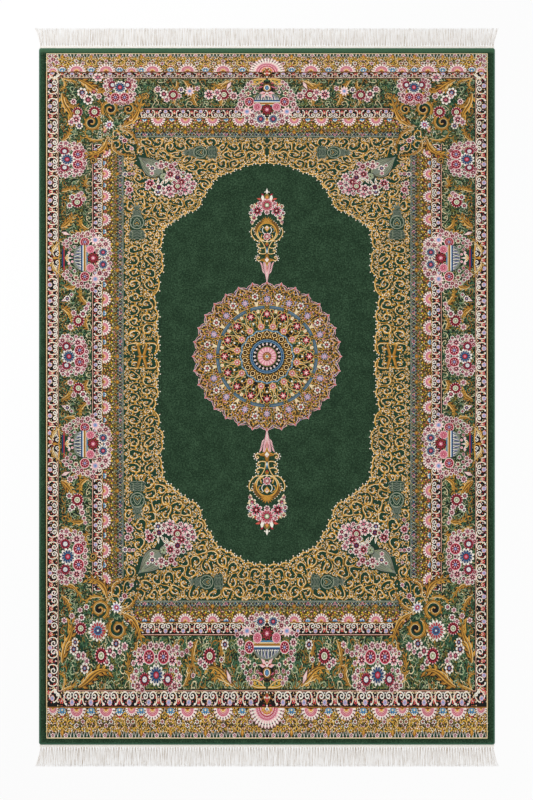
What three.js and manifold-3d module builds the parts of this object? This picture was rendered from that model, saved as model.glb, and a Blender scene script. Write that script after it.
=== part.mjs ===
// A hand-knotted wool and silk room carpet lying flat: a dense cut pile on its woven foundation,
// with a narrow flat-woven web and a knotted fringe at each end.
// Millimetres, +Z up. The origin is the centre of the underside of the pile field, on the floor.
// +Y runs along the carpet's length, towards its far end.

import * as THREE from 'three';
import { mergeVertices } from 'three/addons/utils/BufferGeometryUtils.js';
import Module from 'manifold-3d';

// Driving dimensions of the pile field, foundation and pile together.
const PILE_WIDTH = 1964;
const PILE_LENGTH = 3000;
const PILE_THICKNESS = 8;
const PILE_CORNER_RADIUS = 9;
const PILE_SHOULDER = 3;

// The web is the bare foundation past the last row of knots, shorter at the far end.
const WEB_LENGTH_FAR = 8.5;
const WEB_LENGTH_NEAR = 10;
const WEB_THICKNESS = 1.6;
const WEB_INSET = 3;

// The fringe is the warp ends, knotted in bunches and left hanging as tassels.
const FRINGE_REACH_FAR = 87;
const FRINGE_REACH_NEAR = 96;
const FRINGE_THICKNESS = 2.5;
const KNOT_ROW = 5;
const TASSEL_COUNT = 169;
const TASSEL_ROOT_SHARE = 0.78;
const TASSEL_TIP_SHARE = 0.88;
const TIP_UNEVENNESS = 3;

// The last tassels at each corner swing outwards past the pile's side.
const FLARED_TASSELS = 7;
const FLARE_AT_TIP = 20;
const FLARE_AT_MIDDLE = 0.36;

// The gap left between pieces that are woven in one on the real carpet.
const SEAM_GAP = 0.3;

const wasm = await Module();
wasm.setup();

function toSolid(geometry) {
  const bare = geometry.clone();
  bare.deleteAttribute('normal');
  bare.deleteAttribute('uv');
  const merged = mergeVertices(bare);
  const mesh = new wasm.Mesh({
    numProp: 3,
    vertProperties: new Float32Array(merged.attributes.position.array),
    triVerts: new Uint32Array(merged.index.array),
  });
  return new wasm.Manifold(mesh);
}

function toGeometry(solid) {
  const mesh = solid.getMesh();
  const geometry = new THREE.BufferGeometry();
  geometry.setAttribute('position', new THREE.BufferAttribute(mesh.vertProperties, 3));
  geometry.setIndex(new THREE.BufferAttribute(mesh.triVerts, 1));
  geometry.computeVertexNormals();
  return geometry;
}

// A rectangle with rounded corners, centred on the origin.
function roundedRectangle(width, length, radius) {
  const x = width / 2;
  const y = length / 2;
  const shape = new THREE.Shape();
  shape.moveTo(-x + radius, -y);
  shape.lineTo(x - radius, -y);
  shape.absarc(x - radius, -y + radius, radius, -Math.PI / 2, 0, false);
  shape.lineTo(x, y - radius);
  shape.absarc(x - radius, y - radius, radius, 0, Math.PI / 2, false);
  shape.lineTo(-x + radius, y);
  shape.absarc(-x + radius, y - radius, radius, Math.PI / 2, Math.PI, false);
  shape.lineTo(-x, -y + radius);
  shape.absarc(-x + radius, -y + radius, radius, Math.PI, Math.PI * 1.5, false);
  return shape;
}

// The pile field: square at the floor, with a rounded shoulder where the cut pile ends.
function pileGeometry() {
  const spareDepth = 4;
  const outline = roundedRectangle(PILE_WIDTH, PILE_LENGTH, PILE_CORNER_RADIUS);
  const block = new THREE.ExtrudeGeometry(outline, {
    depth: spareDepth + PILE_THICKNESS - PILE_SHOULDER,
    bevelEnabled: true,
    bevelThickness: PILE_SHOULDER,
    bevelSize: PILE_SHOULDER,
    bevelOffset: -PILE_SHOULDER,
    bevelSegments: 4,
    curveSegments: 5,
  });
  block.translate(0, 0, -spareDepth);
  const cutDepth = 3 * spareDepth;
  const below = new THREE.BoxGeometry(PILE_WIDTH * 1.1, PILE_LENGTH * 1.1, cutDepth);
  below.translate(0, 0, -cutDepth / 2);
  return toGeometry(toSolid(block).subtract(toSolid(below)));
}

// One flat-woven strip, from y = 0 outwards.
function webGeometry(webLength) {
  const geometry = new THREE.BoxGeometry(PILE_WIDTH - 2 * WEB_INSET, webLength, WEB_THICKNESS);
  geometry.translate(0, webLength / 2, WEB_THICKNESS / 2);
  return geometry;
}

// How far a tassel's tip swings along X: nothing in the middle, growing over the last few.
function flare(index) {
  const fromEnd = Math.min(index, TASSEL_COUNT - 1 - index);
  const side = index < TASSEL_COUNT / 2 ? -1 : 1;
  const share = Math.max(0, 1 - fromEnd / FLARED_TASSELS);
  return side * FLARE_AT_TIP * share * share;
}

// Uneven tip lengths, the same on both sides of the carpet's long axis.
function tipShortfall(index) {
  const fromEnd = Math.min(index, TASSEL_COUNT - 1 - index);
  const wave = Math.sin(fromEnd * 2.3) * Math.sin(fromEnd * 0.71 + 1);
  return TIP_UNEVENNESS * 0.5 * (1 + wave);
}

// One comb: a row of knots along y = 0 and a tooth for each tassel, out to y = reach.
function fringeGeometry(reach) {
  const width = PILE_WIDTH - 2 * WEB_INSET;
  const pitch = width / TASSEL_COUNT;
  const rootHalf = pitch * TASSEL_ROOT_SHARE / 2;
  const tipHalf = pitch * TASSEL_TIP_SHARE / 2;
  const middleHalf = (rootHalf + tipHalf) / 2;
  const middle = (KNOT_ROW + reach) / 2;
  const shape = new THREE.Shape();
  shape.moveTo(width / 2, 0);
  shape.lineTo(width / 2, KNOT_ROW);
  for (let index = TASSEL_COUNT - 1; index >= 0; index -= 1) {
    const x = (index + 0.5 - TASSEL_COUNT / 2) * pitch;
    const swing = flare(index);
    const tip = reach - tipShortfall(index);
    shape.lineTo(x + rootHalf, KNOT_ROW);
    if (swing !== 0) {
      shape.lineTo(x + swing * FLARE_AT_MIDDLE + middleHalf, middle);
    }
    shape.lineTo(x + swing + tipHalf, tip);
    shape.lineTo(x + swing - tipHalf, tip);
    if (swing !== 0) {
      shape.lineTo(x + swing * FLARE_AT_MIDDLE - middleHalf, middle);
    }
    shape.lineTo(x - rootHalf, KNOT_ROW);
  }
  shape.lineTo(-width / 2, KNOT_ROW);
  shape.lineTo(-width / 2, 0);
  return new THREE.ExtrudeGeometry(shape, { depth: FRINGE_THICKNESS, bevelEnabled: false });
}

const greenPile = new THREE.MeshStandardMaterial({ color: 0x23402f, roughness: 0.9, metalness: 0 });
const woven = { roughness: 0.88, metalness: 0 };
const farWeb = new THREE.MeshStandardMaterial({ color: 0xf1ece2, ...woven });
const nearWeb = new THREE.MeshStandardMaterial({ color: 0xf1ece2, ...woven });
const farFringe = new THREE.MeshStandardMaterial({ color: 0xe9e0d2, ...woven });
const nearFringe = new THREE.MeshStandardMaterial({ color: 0xe9e0d2, ...woven });

function namedMesh(name, geometry, material) {
  const mesh = new THREE.Mesh(geometry, material);
  mesh.name = name;
  return mesh;
}

// The web and fringe of one end, running outwards from the pile's edge along +Y.
function endGroup(end, webLength, reach, webMaterial, fringeMaterial) {
  const group = new THREE.Group();
  const web = namedMesh(`end_web_${end}`, webGeometry(webLength - SEAM_GAP), webMaterial);
  web.position.y = PILE_LENGTH / 2 + SEAM_GAP;
  const fringeStart = webLength + SEAM_GAP;
  const fringe = namedMesh(`fringe_${end}`, fringeGeometry(reach - fringeStart), fringeMaterial);
  fringe.position.y = PILE_LENGTH / 2 + fringeStart;
  group.add(web, fringe);
  return group;
}

const carpet = new THREE.Group();
carpet.add(namedMesh('carpet_pile', pileGeometry(), greenPile));
carpet.add(endGroup('far', WEB_LENGTH_FAR, FRINGE_REACH_FAR, farWeb, farFringe));
const nearEnd = endGroup('near', WEB_LENGTH_NEAR, FRINGE_REACH_NEAR, nearWeb, nearFringe);
nearEnd.rotation.z = Math.PI;
carpet.add(nearEnd);

export default carpet;
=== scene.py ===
"""A hand-knotted wool and silk carpet, lying flat, with its floral design cut into the pile.

The design is drawn once for a quarter of the carpet, as (across, along) in millimetres from its
middle, and mirrored. Each dyed yarn becomes one piece.
"""

import math

import bpy
import numpy as np
from bpy.props import FloatProperty, FloatVectorProperty, IntProperty, PointerProperty
from bpy.types import Operator, Panel, PropertyGroup
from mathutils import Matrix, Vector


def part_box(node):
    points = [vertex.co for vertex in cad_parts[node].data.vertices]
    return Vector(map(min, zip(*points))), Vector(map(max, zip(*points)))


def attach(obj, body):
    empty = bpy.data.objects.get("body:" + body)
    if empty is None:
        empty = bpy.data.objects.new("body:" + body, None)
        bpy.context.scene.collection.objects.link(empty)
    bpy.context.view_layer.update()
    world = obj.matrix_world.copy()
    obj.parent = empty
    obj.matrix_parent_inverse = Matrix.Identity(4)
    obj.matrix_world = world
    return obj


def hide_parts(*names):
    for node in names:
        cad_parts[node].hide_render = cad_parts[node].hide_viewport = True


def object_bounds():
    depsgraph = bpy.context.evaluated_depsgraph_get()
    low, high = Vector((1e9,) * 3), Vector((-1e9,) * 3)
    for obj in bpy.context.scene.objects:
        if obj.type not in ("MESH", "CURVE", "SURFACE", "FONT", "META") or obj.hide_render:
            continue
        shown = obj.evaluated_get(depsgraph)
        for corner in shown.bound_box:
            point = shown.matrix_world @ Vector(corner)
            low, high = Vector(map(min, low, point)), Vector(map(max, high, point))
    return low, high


bl_info = {
    "name": "Wool and Silk Carpet",
    "version": (1, 0, 0),
    "blender": (4, 5, 0),
    "location": "3D View > Sidebar > Carpet",
    "description": "Models a flat knotted carpet with a floral medallion design",
    "category": "Add Mesh",
}

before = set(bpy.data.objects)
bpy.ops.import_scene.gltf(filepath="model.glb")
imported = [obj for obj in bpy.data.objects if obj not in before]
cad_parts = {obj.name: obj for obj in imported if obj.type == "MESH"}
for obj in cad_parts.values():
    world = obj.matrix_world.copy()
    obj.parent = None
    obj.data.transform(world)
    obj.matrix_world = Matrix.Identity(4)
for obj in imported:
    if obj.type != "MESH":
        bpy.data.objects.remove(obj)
cad_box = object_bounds()

MM = 0.001
TURN = 2 * math.pi
SEED = 7
SHADES_OF_HEIGHT = 17  # neighbours in one layer differ a little in height, so that none coincide

# The dyed yarns: sRGB colour, and how much of the fibre is silk, which catches more light.
YARNS = {
    "deep_green": ("1f3b2b", 0.1),
    "black": ("1c1a1a", 0.0),
    "umber": ("4e4028", 0.1),
    "olive": ("6f7038", 0.2),
    "sage": ("a9b48c", 0.4),
    "leaf_green": ("47694a", 0.2),
    "amber": ("a06d2a", 0.5),
    "gold": ("d09b42", 0.7),
    "cream": ("eed9ab", 0.8),
    "ivory": ("f5ebdd", 0.9),
    "pale_pink": ("efbfbf", 0.7),
    "rose": ("d27f92", 0.6),
    "crimson": ("a92f3e", 0.3),
    "coral": ("cf5c4e", 0.5),
    "lilac": ("aca6c8", 0.6),
    "sky": ("5b8fb2", 0.5),
    "navy": ("2a3f68", 0.2),
    "grey_green": ("7b8274", 0.4),
    "yellow": ("d9b63a", 0.6),
}

# The bands of the design, from the middle outwards: half-width at the sides, half-length at the
# ends, both to the band's outer edge.
BANDS = {
    "arabesque": (620, 1020),
    "blue_row": (644, 1040),
    "lattice": (666, 1062),
    "beads": (672, 1068),
    "fans": (707.5, 1104),
    "inner_guard": (751, 1147),
    "main_border": (899.5, 1289),
    "outer_guard": (949.8, 1339),
    "end_band": (949.8, 1439),
}

# The weaver's design is drawn out more towards the near end. Each row gives a distance along the
# drawing from its middle, and where that falls along the carpet towards each end.
LENGTHWAYS = (  # along, far, near
    (0, 172, 172),
    (400, 594, -202.4),
    (586, 762.7, -406.6),
    (820, 958.4, -661.8),
    (1020, 1117.8, -882),
    (1104, 1198.4, -973.8),
    (1147, 1238.5, -1026),
    (1289, 1372, -1268.6),
    (1339, 1396.7, -1339.7),
    (1439, 1476.8, -1473.4),
    (1465, 1500, -1500),
)


SOFTEN = 0.55  # a flower keeps more of its round shape than the drawing is stretched by
MIDDLE = LENGTHWAYS[0][1]

# The edge of the plain field, from the long axis round to the middle of the side.
FIELD_EDGE = (  # across, along
    (0, 897), (54, 884), (100, 880), (140, 850), (176, 832), (216, 822), (240, 786),
    (268, 742), (294, 694), (302, 650), (340, 634), (374, 612), (404, 588), (432, 566),
    (466, 540), (458, 492), (482, 446), (456, 390), (476, 330), (502, 244), (486, 196),
    (482, 140), (488, 104), (474, 60), (486, 12), (486, 0),
)


# ---- drawing with flat shapes


class Motif:
    """Flat shapes that are placed together. Each has a yarn, a layer and its corners."""

    def __init__(self):
        self.shapes = {}

    def lay(self, yarn, layer, faces):
        faces = np.asarray(faces, dtype=float)
        if faces.ndim == 2:
            faces = faces[None]
        self.shapes.setdefault((yarn, layer, faces.shape[1]), []).append(faces)
        return self

    def stack(self, layer, **shapes):
        """Lays shapes by yarn, each one layer above the last."""
        for height, (yarn, faces) in enumerate(shapes.items(), layer):
            self.lay(yarn, height, faces)
        return self

    def level(self, layer, **shapes):
        """Lays shapes by yarn, side by side on one layer."""
        for yarn, faces in shapes.items():
            self.lay(yarn, layer, faces)
        return self

    def put(self, other, x=0, y=0, turn=0, size=1, flip=False, lift=0):
        """Adds a copy of another motif, mirrored, sized, turned and then moved to (x, y)."""
        cos, sin = math.cos(turn) * size, math.sin(turn) * size
        matrix = np.array([[cos, sin], [-sin, cos]])
        if flip:
            matrix = np.diag([-1, 1]) @ matrix
        for (yarn, layer, _), arrays in other.shapes.items():
            self.lay(yarn, layer + lift, np.concatenate(arrays) @ matrix + (x, y))
        return self

    def put_pair(self, half):
        """Adds a half and its mirror image."""
        return self.put(half).put(half, flip=True)


def polar(radius, angle):
    return np.stack([radius * np.cos(angle), radius * np.sin(angle)], axis=-1)


def between(count, radius, start=0):
    """Points in a circle, halfway between the petals of a flower whose first stands at start."""
    return polar(radius * np.ones(count), start + (np.arange(count) + 0.5) * TURN / count)


def disc(radius, corners, x=0, y=0):
    return polar(radius, (np.arange(corners) + 0.5) * TURN / corners) + (x, y)


def oval(half_width, half_height, corners, x=0, y=0):
    return disc(1, corners) * (half_width, half_height) + (x, y)


def discs(centres, radius, corners):
    """A disc at each centre."""
    return np.asarray(centres)[:, None, :] + disc(radius, corners)[None]


def ring(inner, outer, corners, start=0, sweep=TURN):
    """Quads between two radii, each a number or one value for each corner."""
    angle = start + sweep * np.linspace(0, 1, corners + 1)
    low = polar(inner * np.ones(corners + 1), angle)
    high = polar(outer * np.ones(corners + 1), angle)
    return np.stack([low[:-1], high[:-1], high[1:], low[1:]], axis=1)


def petals(count, inner, outer, width, start=0, sweep=TURN):
    """Round-ended petals that stand around a centre."""
    profile = np.array([
        (0, -0.26), (0.62, -0.5), (0.9, -0.34), (1, 0), (0.9, 0.34), (0.62, 0.5), (0, 0.26),
    ])
    along = inner + (outer - inner) * profile[:, 0]
    across = width * profile[:, 1]
    angle = start + (np.arange(count) + 0.5) * sweep / count
    cos, sin = np.cos(angle)[:, None], np.sin(angle)[:, None]
    return np.stack([along * cos - across * sin, along * sin + across * cos], axis=-1)


def kites(bases, directions, length, width, belly=0.45):
    """A pointed leaf at each base, along each direction."""
    bases, directions = np.asarray(bases, float), np.asarray(directions, float)
    directions = directions / (np.linalg.norm(directions, axis=-1, keepdims=True) + 1e-9)
    sides = np.stack([-directions[..., 1], directions[..., 0]], axis=-1)
    middle = bases + directions * length * belly
    return np.stack([
        bases, middle - sides * width / 2, bases + directions * length, middle + sides * width / 2,
    ], axis=-2)


def blade(y, length, width, belly=0.45):
    """One pointed leaf that stands upright on the axis."""
    return kites([(0, y)], [(0, 1)], length, width, belly)


def stroke(points, widths, shift=0):
    """A band of quads along a line, or along each line of a stack. shift moves it to one side."""
    points = np.asarray(points, float)
    along = np.gradient(points, axis=-2)
    along = along / (np.linalg.norm(along, axis=-1, keepdims=True) + 1e-9)
    side = np.stack([-along[..., 1], along[..., 0]], axis=-1)
    half = np.broadcast_to(np.asarray(widths, float) / 2, points.shape[:-1])[..., None]
    points = points + side * np.asarray(shift, float)
    left, right = points + side * half, points - side * half
    quads = np.stack([
        left[..., :-1, :], right[..., :-1, :], right[..., 1:, :], left[..., 1:, :],
    ], axis=-2)
    return quads.reshape(-1, 4, 2)


def taper(steps, start, middle, end):
    """Widths along a line that swell in its middle."""
    share = np.linspace(0, 1, steps + 1)
    return np.interp(share, (0, 0.4, 1), (start, middle, end))


def bezier(*points, steps=8):
    share = np.linspace(0, 1, steps + 1)[:, None]
    points = [np.asarray(point, float) for point in points]
    while len(points) > 1:
        points = [a * (1 - share) + b * share for a, b in zip(points, points[1:])]
    return points[0]


def spiral(radius, turns, steps, hand=1, inner=0.1, bow=1.7):
    """A line that runs in from (radius, 0) around the origin."""
    share = np.linspace(0, 1, steps + 1)
    return polar(radius * (1 - (1 - inner) * share**bow), hand * TURN * turns * share)


def repeat(pitch, start, end):
    """Evenly spaced places, from start, at about the pitch, that end exactly at the end."""
    count = max(1, round((end - start) / pitch))
    return start + (np.arange(count) + 0.5) * (end - start) / count


# ---- from the drawing to the carpet


TABLE = np.array(LENGTHWAYS, float)
SIGNED_ALONG = np.concatenate([-TABLE[:0:-1, 0], TABLE[:, 0]])
SIGNED_PLACE = np.concatenate([TABLE[:0:-1, 2], TABLE[:, 1]])


def lengthways(along):
    """Where a distance along the drawing falls on the carpet."""
    return np.interp(along, SIGNED_ALONG, SIGNED_PLACE)


def stretch(along):
    """How much longer the carpet is than the drawing, about one place."""
    reach = 12
    return (lengthways(along + reach) - lengthways(along - reach)) / (2 * reach)


BOTH_ENDS = (1, -1)
FAR_END = (1,)
NEAR_END = (-1,)


class Layout:
    """The whole design on the carpet, in millimetres."""

    def __init__(self):
        self.faces = {}

    def keep(self, yarn, layer, faces):
        """Takes faces in, turned to face up, and leaves out slivers."""
        sliver = 0.05  # twice its area, in square millimetres
        after = np.roll(faces, -1, axis=1)
        twice_area = (faces[..., 0] * after[..., 1] - faces[..., 1] * after[..., 0]).sum(axis=1)
        faces = np.where((twice_area < 0)[:, None, None], faces[:, ::-1], faces)
        faces = faces[np.abs(twice_area) > sliver]
        self.faces.setdefault(yarn, {}).setdefault((layer, faces.shape[1]), []).append(faces)

    def spread(self, motif, both_sides=True, ends=BOTH_ENDS, anchor=None):
        """Puts a motif on one or both sides, and at each of the ends. With an anchor, its distance
        along the drawing, the motif moves as one and keeps more of its shape."""
        sides = (1, -1) if both_sides else (1,)
        for (yarn, layer, _), arrays in motif.shapes.items():
            faces = np.concatenate(arrays)
            for side in sides:
                for end in ends:
                    copy = faces * (side, end)
                    if anchor is None:
                        copy[..., 1] = lengthways(copy[..., 1])
                    else:
                        kept = stretch(end * anchor) ** SOFTEN
                        centre = lengthways(end * anchor)
                        copy[..., 1] = centre + (copy[..., 1] - end * anchor) * kept
                    self.keep(yarn, layer, copy)

    def place(self, motif, across, along, turn=0, size=1, lift=0, ends=BOTH_ENDS):
        """Puts a motif at a place of the quarter, mirrored unless it stands on an axis."""
        stamped = Motif().put(motif, across, along, turn, size, lift=lift)
        self.spread(stamped, across > 0, ends if along > 0 else FAR_END, anchor=along)

    def put_direct(self, motif, x, y, turn=0, size=1):
        """Puts a motif straight on the carpet, once, with no mirroring."""
        stamped = Motif().put(motif, turn=turn, size=size)
        for (yarn, layer, _), arrays in stamped.shapes.items():
            self.keep(yarn, layer, np.concatenate(arrays) + (x, y))


# ---- flowers and leaves


def rosette(radius, petal="ivory", band="navy", heart="crimson", eye="rose", count=12, spoke="sky"):
    """A round flower with a row of light petals about a ring of dark ones."""
    flower = Motif().lay("black", 0, disc(radius * 1.02, 14))
    gap = TURN * radius * 0.84 / count
    flower.lay(petal, 1, petals(count, radius * 0.44, radius * 1.16, gap * 0.9))
    flower.lay(spoke, 2, petals(count, radius * 0.36, radius * 0.7, gap * 0.62))
    flower.lay(band, 3, petals(count, radius * 0.42, radius * 0.9, gap * 0.6))
    flower.lay("black", 5, disc(radius * 0.43, 10)).lay(heart, 6, disc(radius * 0.37, 9))
    return flower.lay(eye, 7, disc(radius * 0.2, 6))


def blossom(radius, petal, heart, eye, count=6):
    """A small flower of round petals with light rims, dark between them about its heart."""
    flower = Motif().lay("black", 0, disc(radius * 0.92, 8))
    turn = radius * 1.7
    angle = np.arange(count) * TURN / count + turn
    centres = polar(radius * 0.68 * np.ones(count), angle)
    flower.lay("ivory", 1, discs(centres, radius * 2.12 / (count + 0.4), 6))
    if petal != "ivory":
        flower.lay(petal, 2, discs(centres * 0.96, radius * 1.56 / (count + 0.4), 5))
    dark = "rose" if petal == "pale_pink" else "crimson"
    flower.lay(dark, 3, kites(centres * 0.4, centres, radius * 0.42, radius * 0.18))
    flower.lay("black", 3, discs(between(count, radius * 0.5, turn), radius * 0.14, 4))
    flower.lay(heart, 4, disc(radius * 0.27, 6))
    return flower.lay(eye, 5, disc(radius * 0.13, 5))


def ring_rose(radius, band="crimson", edge="pale_pink", inner="ivory", heart="sage"):
    """A round flower with a ring of dark petals, light at their tips, about a light centre."""
    flower = Motif().lay("black", 0, disc(radius, 14))
    flower.lay(edge, 1, petals(14, radius * 0.72, radius * 1.1, radius * 0.22))
    flower.lay(band, 2, petals(14, radius * 0.5, radius * 0.94, radius * 0.26))
    flower.lay("black", 3, disc(radius * 0.68, 12)).lay(band, 4, disc(radius * 0.56, 12))
    flower.lay(inner, 5, disc(radius * 0.49, 12)).lay(heart, 6, disc(radius * 0.41, 10))
    flower.lay("umber", 7, discs(between(5, radius * 0.26), radius * 0.07, 4))
    return flower.lay(inner, 7, disc(radius * 0.13, 5))


def ringed(radius):
    """A round flower held in a ring with a pale edge."""
    flower = Motif().stack(
        0, ivory=disc(radius * 1.08, 14), rose=disc(radius, 14), crimson=disc(radius * 0.9, 12),
        black=disc(radius * 0.72, 12))
    flower.stack(
        4, crimson=petals(8, radius * 0.2, radius * 0.7, radius * 0.3),
        pale_pink=petals(8, radius * 0.3, radius * 0.68, radius * 0.13))
    return flower.stack(6, navy=disc(radius * 0.34, 8), lilac=disc(radius * 0.2, 6))


def lily(radius):
    """A dark flower with pointed petals about a pink heart."""
    flower = Motif().lay("black", 0, disc(radius * 0.98, 12))
    outward = polar(np.ones(9), np.arange(9) * TURN / 9)
    flower.stack(
        1, crimson=kites(outward * radius * 0.15, outward, radius * 0.95, radius * 0.36),
        black=kites(outward * radius * 0.3, outward, radius * 0.6, radius * 0.15),
        amber=discs(between(9, radius * 0.72), radius * 0.07, 5))
    flower.stack(3, crimson=disc(radius * 0.38, 9), rose=petals(7, 0, radius * 0.4, radius * 0.2))
    return flower.lay("ivory", 5, disc(radius * 0.13, 6))


def starry(radius):
    """A flower with pointed petals, light at their tips, about a lilac centre."""
    flower = Motif().lay("black", 0, disc(radius * 0.8, 10))
    outward = polar(np.ones(9), np.arange(9) * TURN / 9 + 0.2)
    flower.stack(
        1, pale_pink=kites(outward * radius * 0.1, outward, radius * 0.98, radius * 0.5),
        ivory=kites(outward * radius * 0.5, outward, radius * 0.5, radius * 0.24))
    return flower.stack(3, lilac=disc(radius * 0.4, 9), sky=disc(radius * 0.18, 6))


def shell(radius):
    """A rose shell with a pale rim."""
    flower = Motif().stack(
        0, black=disc(radius * 1.04, 12), pale_pink=ring(radius * 0.82, radius, 12),
        rose=disc(radius * 0.84, 12), crimson=petals(9, radius * 0.3, radius * 0.8, radius * 0.14))
    flower.lay("pale_pink", 3, discs(between(9, radius * 0.62), radius * 0.09, 5))
    return flower.stack(4, crimson=disc(radius * 0.3, 8), pale_pink=disc(radius * 0.16, 5))


def fan(radius, count=9, rise=0.16):
    """A flower cut off by the line that it stands on, opening along +y: striped petals with dark
    dots between their tips, a red ring and a gold heart."""
    rise, slant = radius * rise, 0.2 * (rise > 0)
    sweep = TURN / 2 + 2 * slant
    spread = dict(start=-slant, sweep=sweep)
    flower = Motif().lay("black", 3, ring(0, radius, 14, **spread) + (0, rise))
    gap = sweep * radius * 0.8 / count
    for layer, yarn, inner, outer, width in (
        (4, "pale_pink", 0.4, 1.06, 1.2), (5, "ivory", 0.66, 1, 0.62), (5, "rose", 0.42, 0.7, 0.5),
    ):
        flower.lay(
            yarn, layer, petals(count, radius * inner, radius * outer, gap * width, **spread) + (0, rise))
    angle = -slant + np.arange(1, count) * sweep / count
    for reach, share, yarn in ((0.84, 0.27, "black"), (0.58, 0.2, "crimson")):
        dots = polar(radius * reach * np.ones(count - 1), angle)
        flower.lay(yarn, 6, discs(dots + (0, rise), gap * share, 6))
    for layer, yarn, outer in (
        (7, "crimson", 0.47), (8, "pale_pink", 0.41), (9, "coral", 0.34), (10, "cream", 0.27),
        (11, "gold", 0.2),
    ):
        flower.lay(yarn, layer, ring(0, radius * outer, 8, **spread) + (0, rise))
    return flower.lay("crimson", 12, disc(radius * 0.08, 5, 0, rise))


def acanthus(line, width, lobes, body="amber", light="gold"):
    """A long leaf with dark and light ribs along it, and lobes that split from its sides."""
    line = np.asarray(line, float)
    steps = len(line) - 1
    widths = taper(steps, width * 0.3, width, width * 0.24)
    leaf = Motif().lay("black", -1, stroke(line, widths * 1.5)).lay(body, 0, stroke(line, widths))
    for shift, yarn, share in ((-0.36, "umber", 0.16), (-0.12, light, 0.13), (0.1, "umber", 0.12),
                               (0.36, light, 0.24)):
        leaf.lay(yarn, 1, stroke(line, widths * share, widths[:, None] * shift))
    leaf.lay("cream", 2, stroke(line[: steps * 2 // 3], 1.6, 0.5 * widths[: steps * 2 // 3, None]))
    along = np.gradient(line, axis=0)
    along /= np.linalg.norm(along, axis=1)[:, None] + 1e-9
    side = np.stack([-along[:, 1], along[:, 0]], axis=1)
    picks = np.linspace(1, steps, lobes).round().astype(int)
    for hand, yarn in ((1, light), (-1, body)):
        bases = line[picks] + hand * side[picks] * widths[picks][:, None] * 0.2
        directions = along[picks] + hand * side[picks] * 0.75
        leaf.lay("black", -1, kites(bases, directions, width * 1.25, width * 0.6))
        leaf.lay(yarn, 0, kites(bases, directions, width * 1.1, width * 0.4))
        leaf.lay("umber" if hand > 0 else "gold", 1, kites(bases, directions, width * 0.7, width * 0.1))
    return leaf


def scroll_leaf(radius):
    """A big spiral of gold acanthus with a lobed rim, pale edges and pale beads."""
    motif = Motif()
    motif.stack(0, deep_green=disc(radius * 0.8, 18), black=disc(radius * 0.36, 12))
    line = spiral(radius * 0.9, 1.55, 28, inner=0.12, bow=1.1)
    share = np.linspace(0, 1, 29)
    widths = radius * np.interp(share, (0, 0.4, 1), (0.3, 0.23, 0.13))
    motif.stack(
        2, amber=stroke(line, widths),
        umber=stroke(line[:24], widths[:24] * 0.16, -widths[:24, None] * 0.26))
    motif.level(
        3, gold=stroke(line, widths * 0.22, widths[:, None] * 0.06),
        umber=stroke(line[:20], widths[:20] * 0.1, widths[:20, None] * 0.26))
    motif.stack(
        4, gold=stroke(line, widths * 0.22, widths[:, None] * 0.44),
        cream=stroke(line[4:22], widths[4:22] * 0.12, widths[4:22, None] * 0.52))
    rim = line[1:17:2]
    onward = np.roll(rim, -1, 0) - rim
    motif.stack(
        1, amber=kites(rim * 1.02, rim + 1.2 * onward, radius * 0.36, radius * 0.2),
        gold=kites(rim * 1.06, rim + 1.2 * onward, radius * 0.26, radius * 0.06))
    return motif.lay("cream", 4, discs(line[8:27:2] * 0.8, radius * 0.034, 5))


# ---- filling a zone with curls


def inside(points, outline):
    """Which points lie within an outline."""
    x, y = points[:, 0], points[:, 1]
    found = np.zeros(len(points), bool)
    for (x0, y0), (x1, y1) in zip(outline, np.roll(outline, -1, axis=0)):
        if y0 == y1:
            continue
        crosses = (y0 > y) != (y1 > y)
        found ^= crosses & (x < x0 + (y - y0) / (y1 - y0) * (x1 - x0))
    return found


def distance_to_edges(points, outline):
    """How far each point is from the nearest edge."""
    nearest = np.full(len(points), 1e9)
    for start, end in zip(outline, np.roll(outline, -1, axis=0)):
        edge = end - start
        share = np.clip((points - start) @ edge / (edge @ edge + 1e-9), 0, 1)
        nearest = np.minimum(nearest, np.linalg.norm(points - start - share[:, None] * edge, axis=1))
    return nearest


def pack_circles(outline, clear, radii, grid, gap=0.0):
    """Circles that fill an outline, large ones first, each touching what is already there.
    clear is what to keep off, as (across, along, radius). Gives across, along, radius, the
    angle towards the circle that each one grows from, and which way it curls."""
    outline = np.asarray(outline, float)
    low, high = outline.min(axis=0), outline.max(axis=0)
    columns = [np.arange(a + grid / 2, b, grid) for a, b in zip(low, high)]
    points = np.stack(np.meshgrid(*columns), axis=-1).reshape(-1, 2)
    points = points[inside(points, outline)]
    room = distance_to_edges(points, outline)
    for across, along, radius in clear:
        room = np.minimum(room, np.hypot(points[:, 0] - across, points[:, 1] - along) - radius)
    made = []
    for radius in radii:
        while True:
            fits = np.where(room >= radius, room, np.inf)
            pick = int(np.argmin(fits))
            if fits[pick] == np.inf:
                break
            centre = points[pick]
            angle, hand = 0.0, 1.0
            if made:
                known = np.array(made)
                gaps = np.hypot(known[:, 0] - centre[0], known[:, 1] - centre[1]) - known[:, 2]
                parent = known[int(np.argmin(gaps))]
                angle = math.atan2(parent[1] - centre[1], parent[0] - centre[0])
                hand = -parent[4]
            made.append((*centre, radius, angle, hand))
            away = np.hypot(points[:, 0] - centre[0], points[:, 1] - centre[1]) - radius - gap
            room = np.minimum(room, away)
    return np.array(made)


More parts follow.
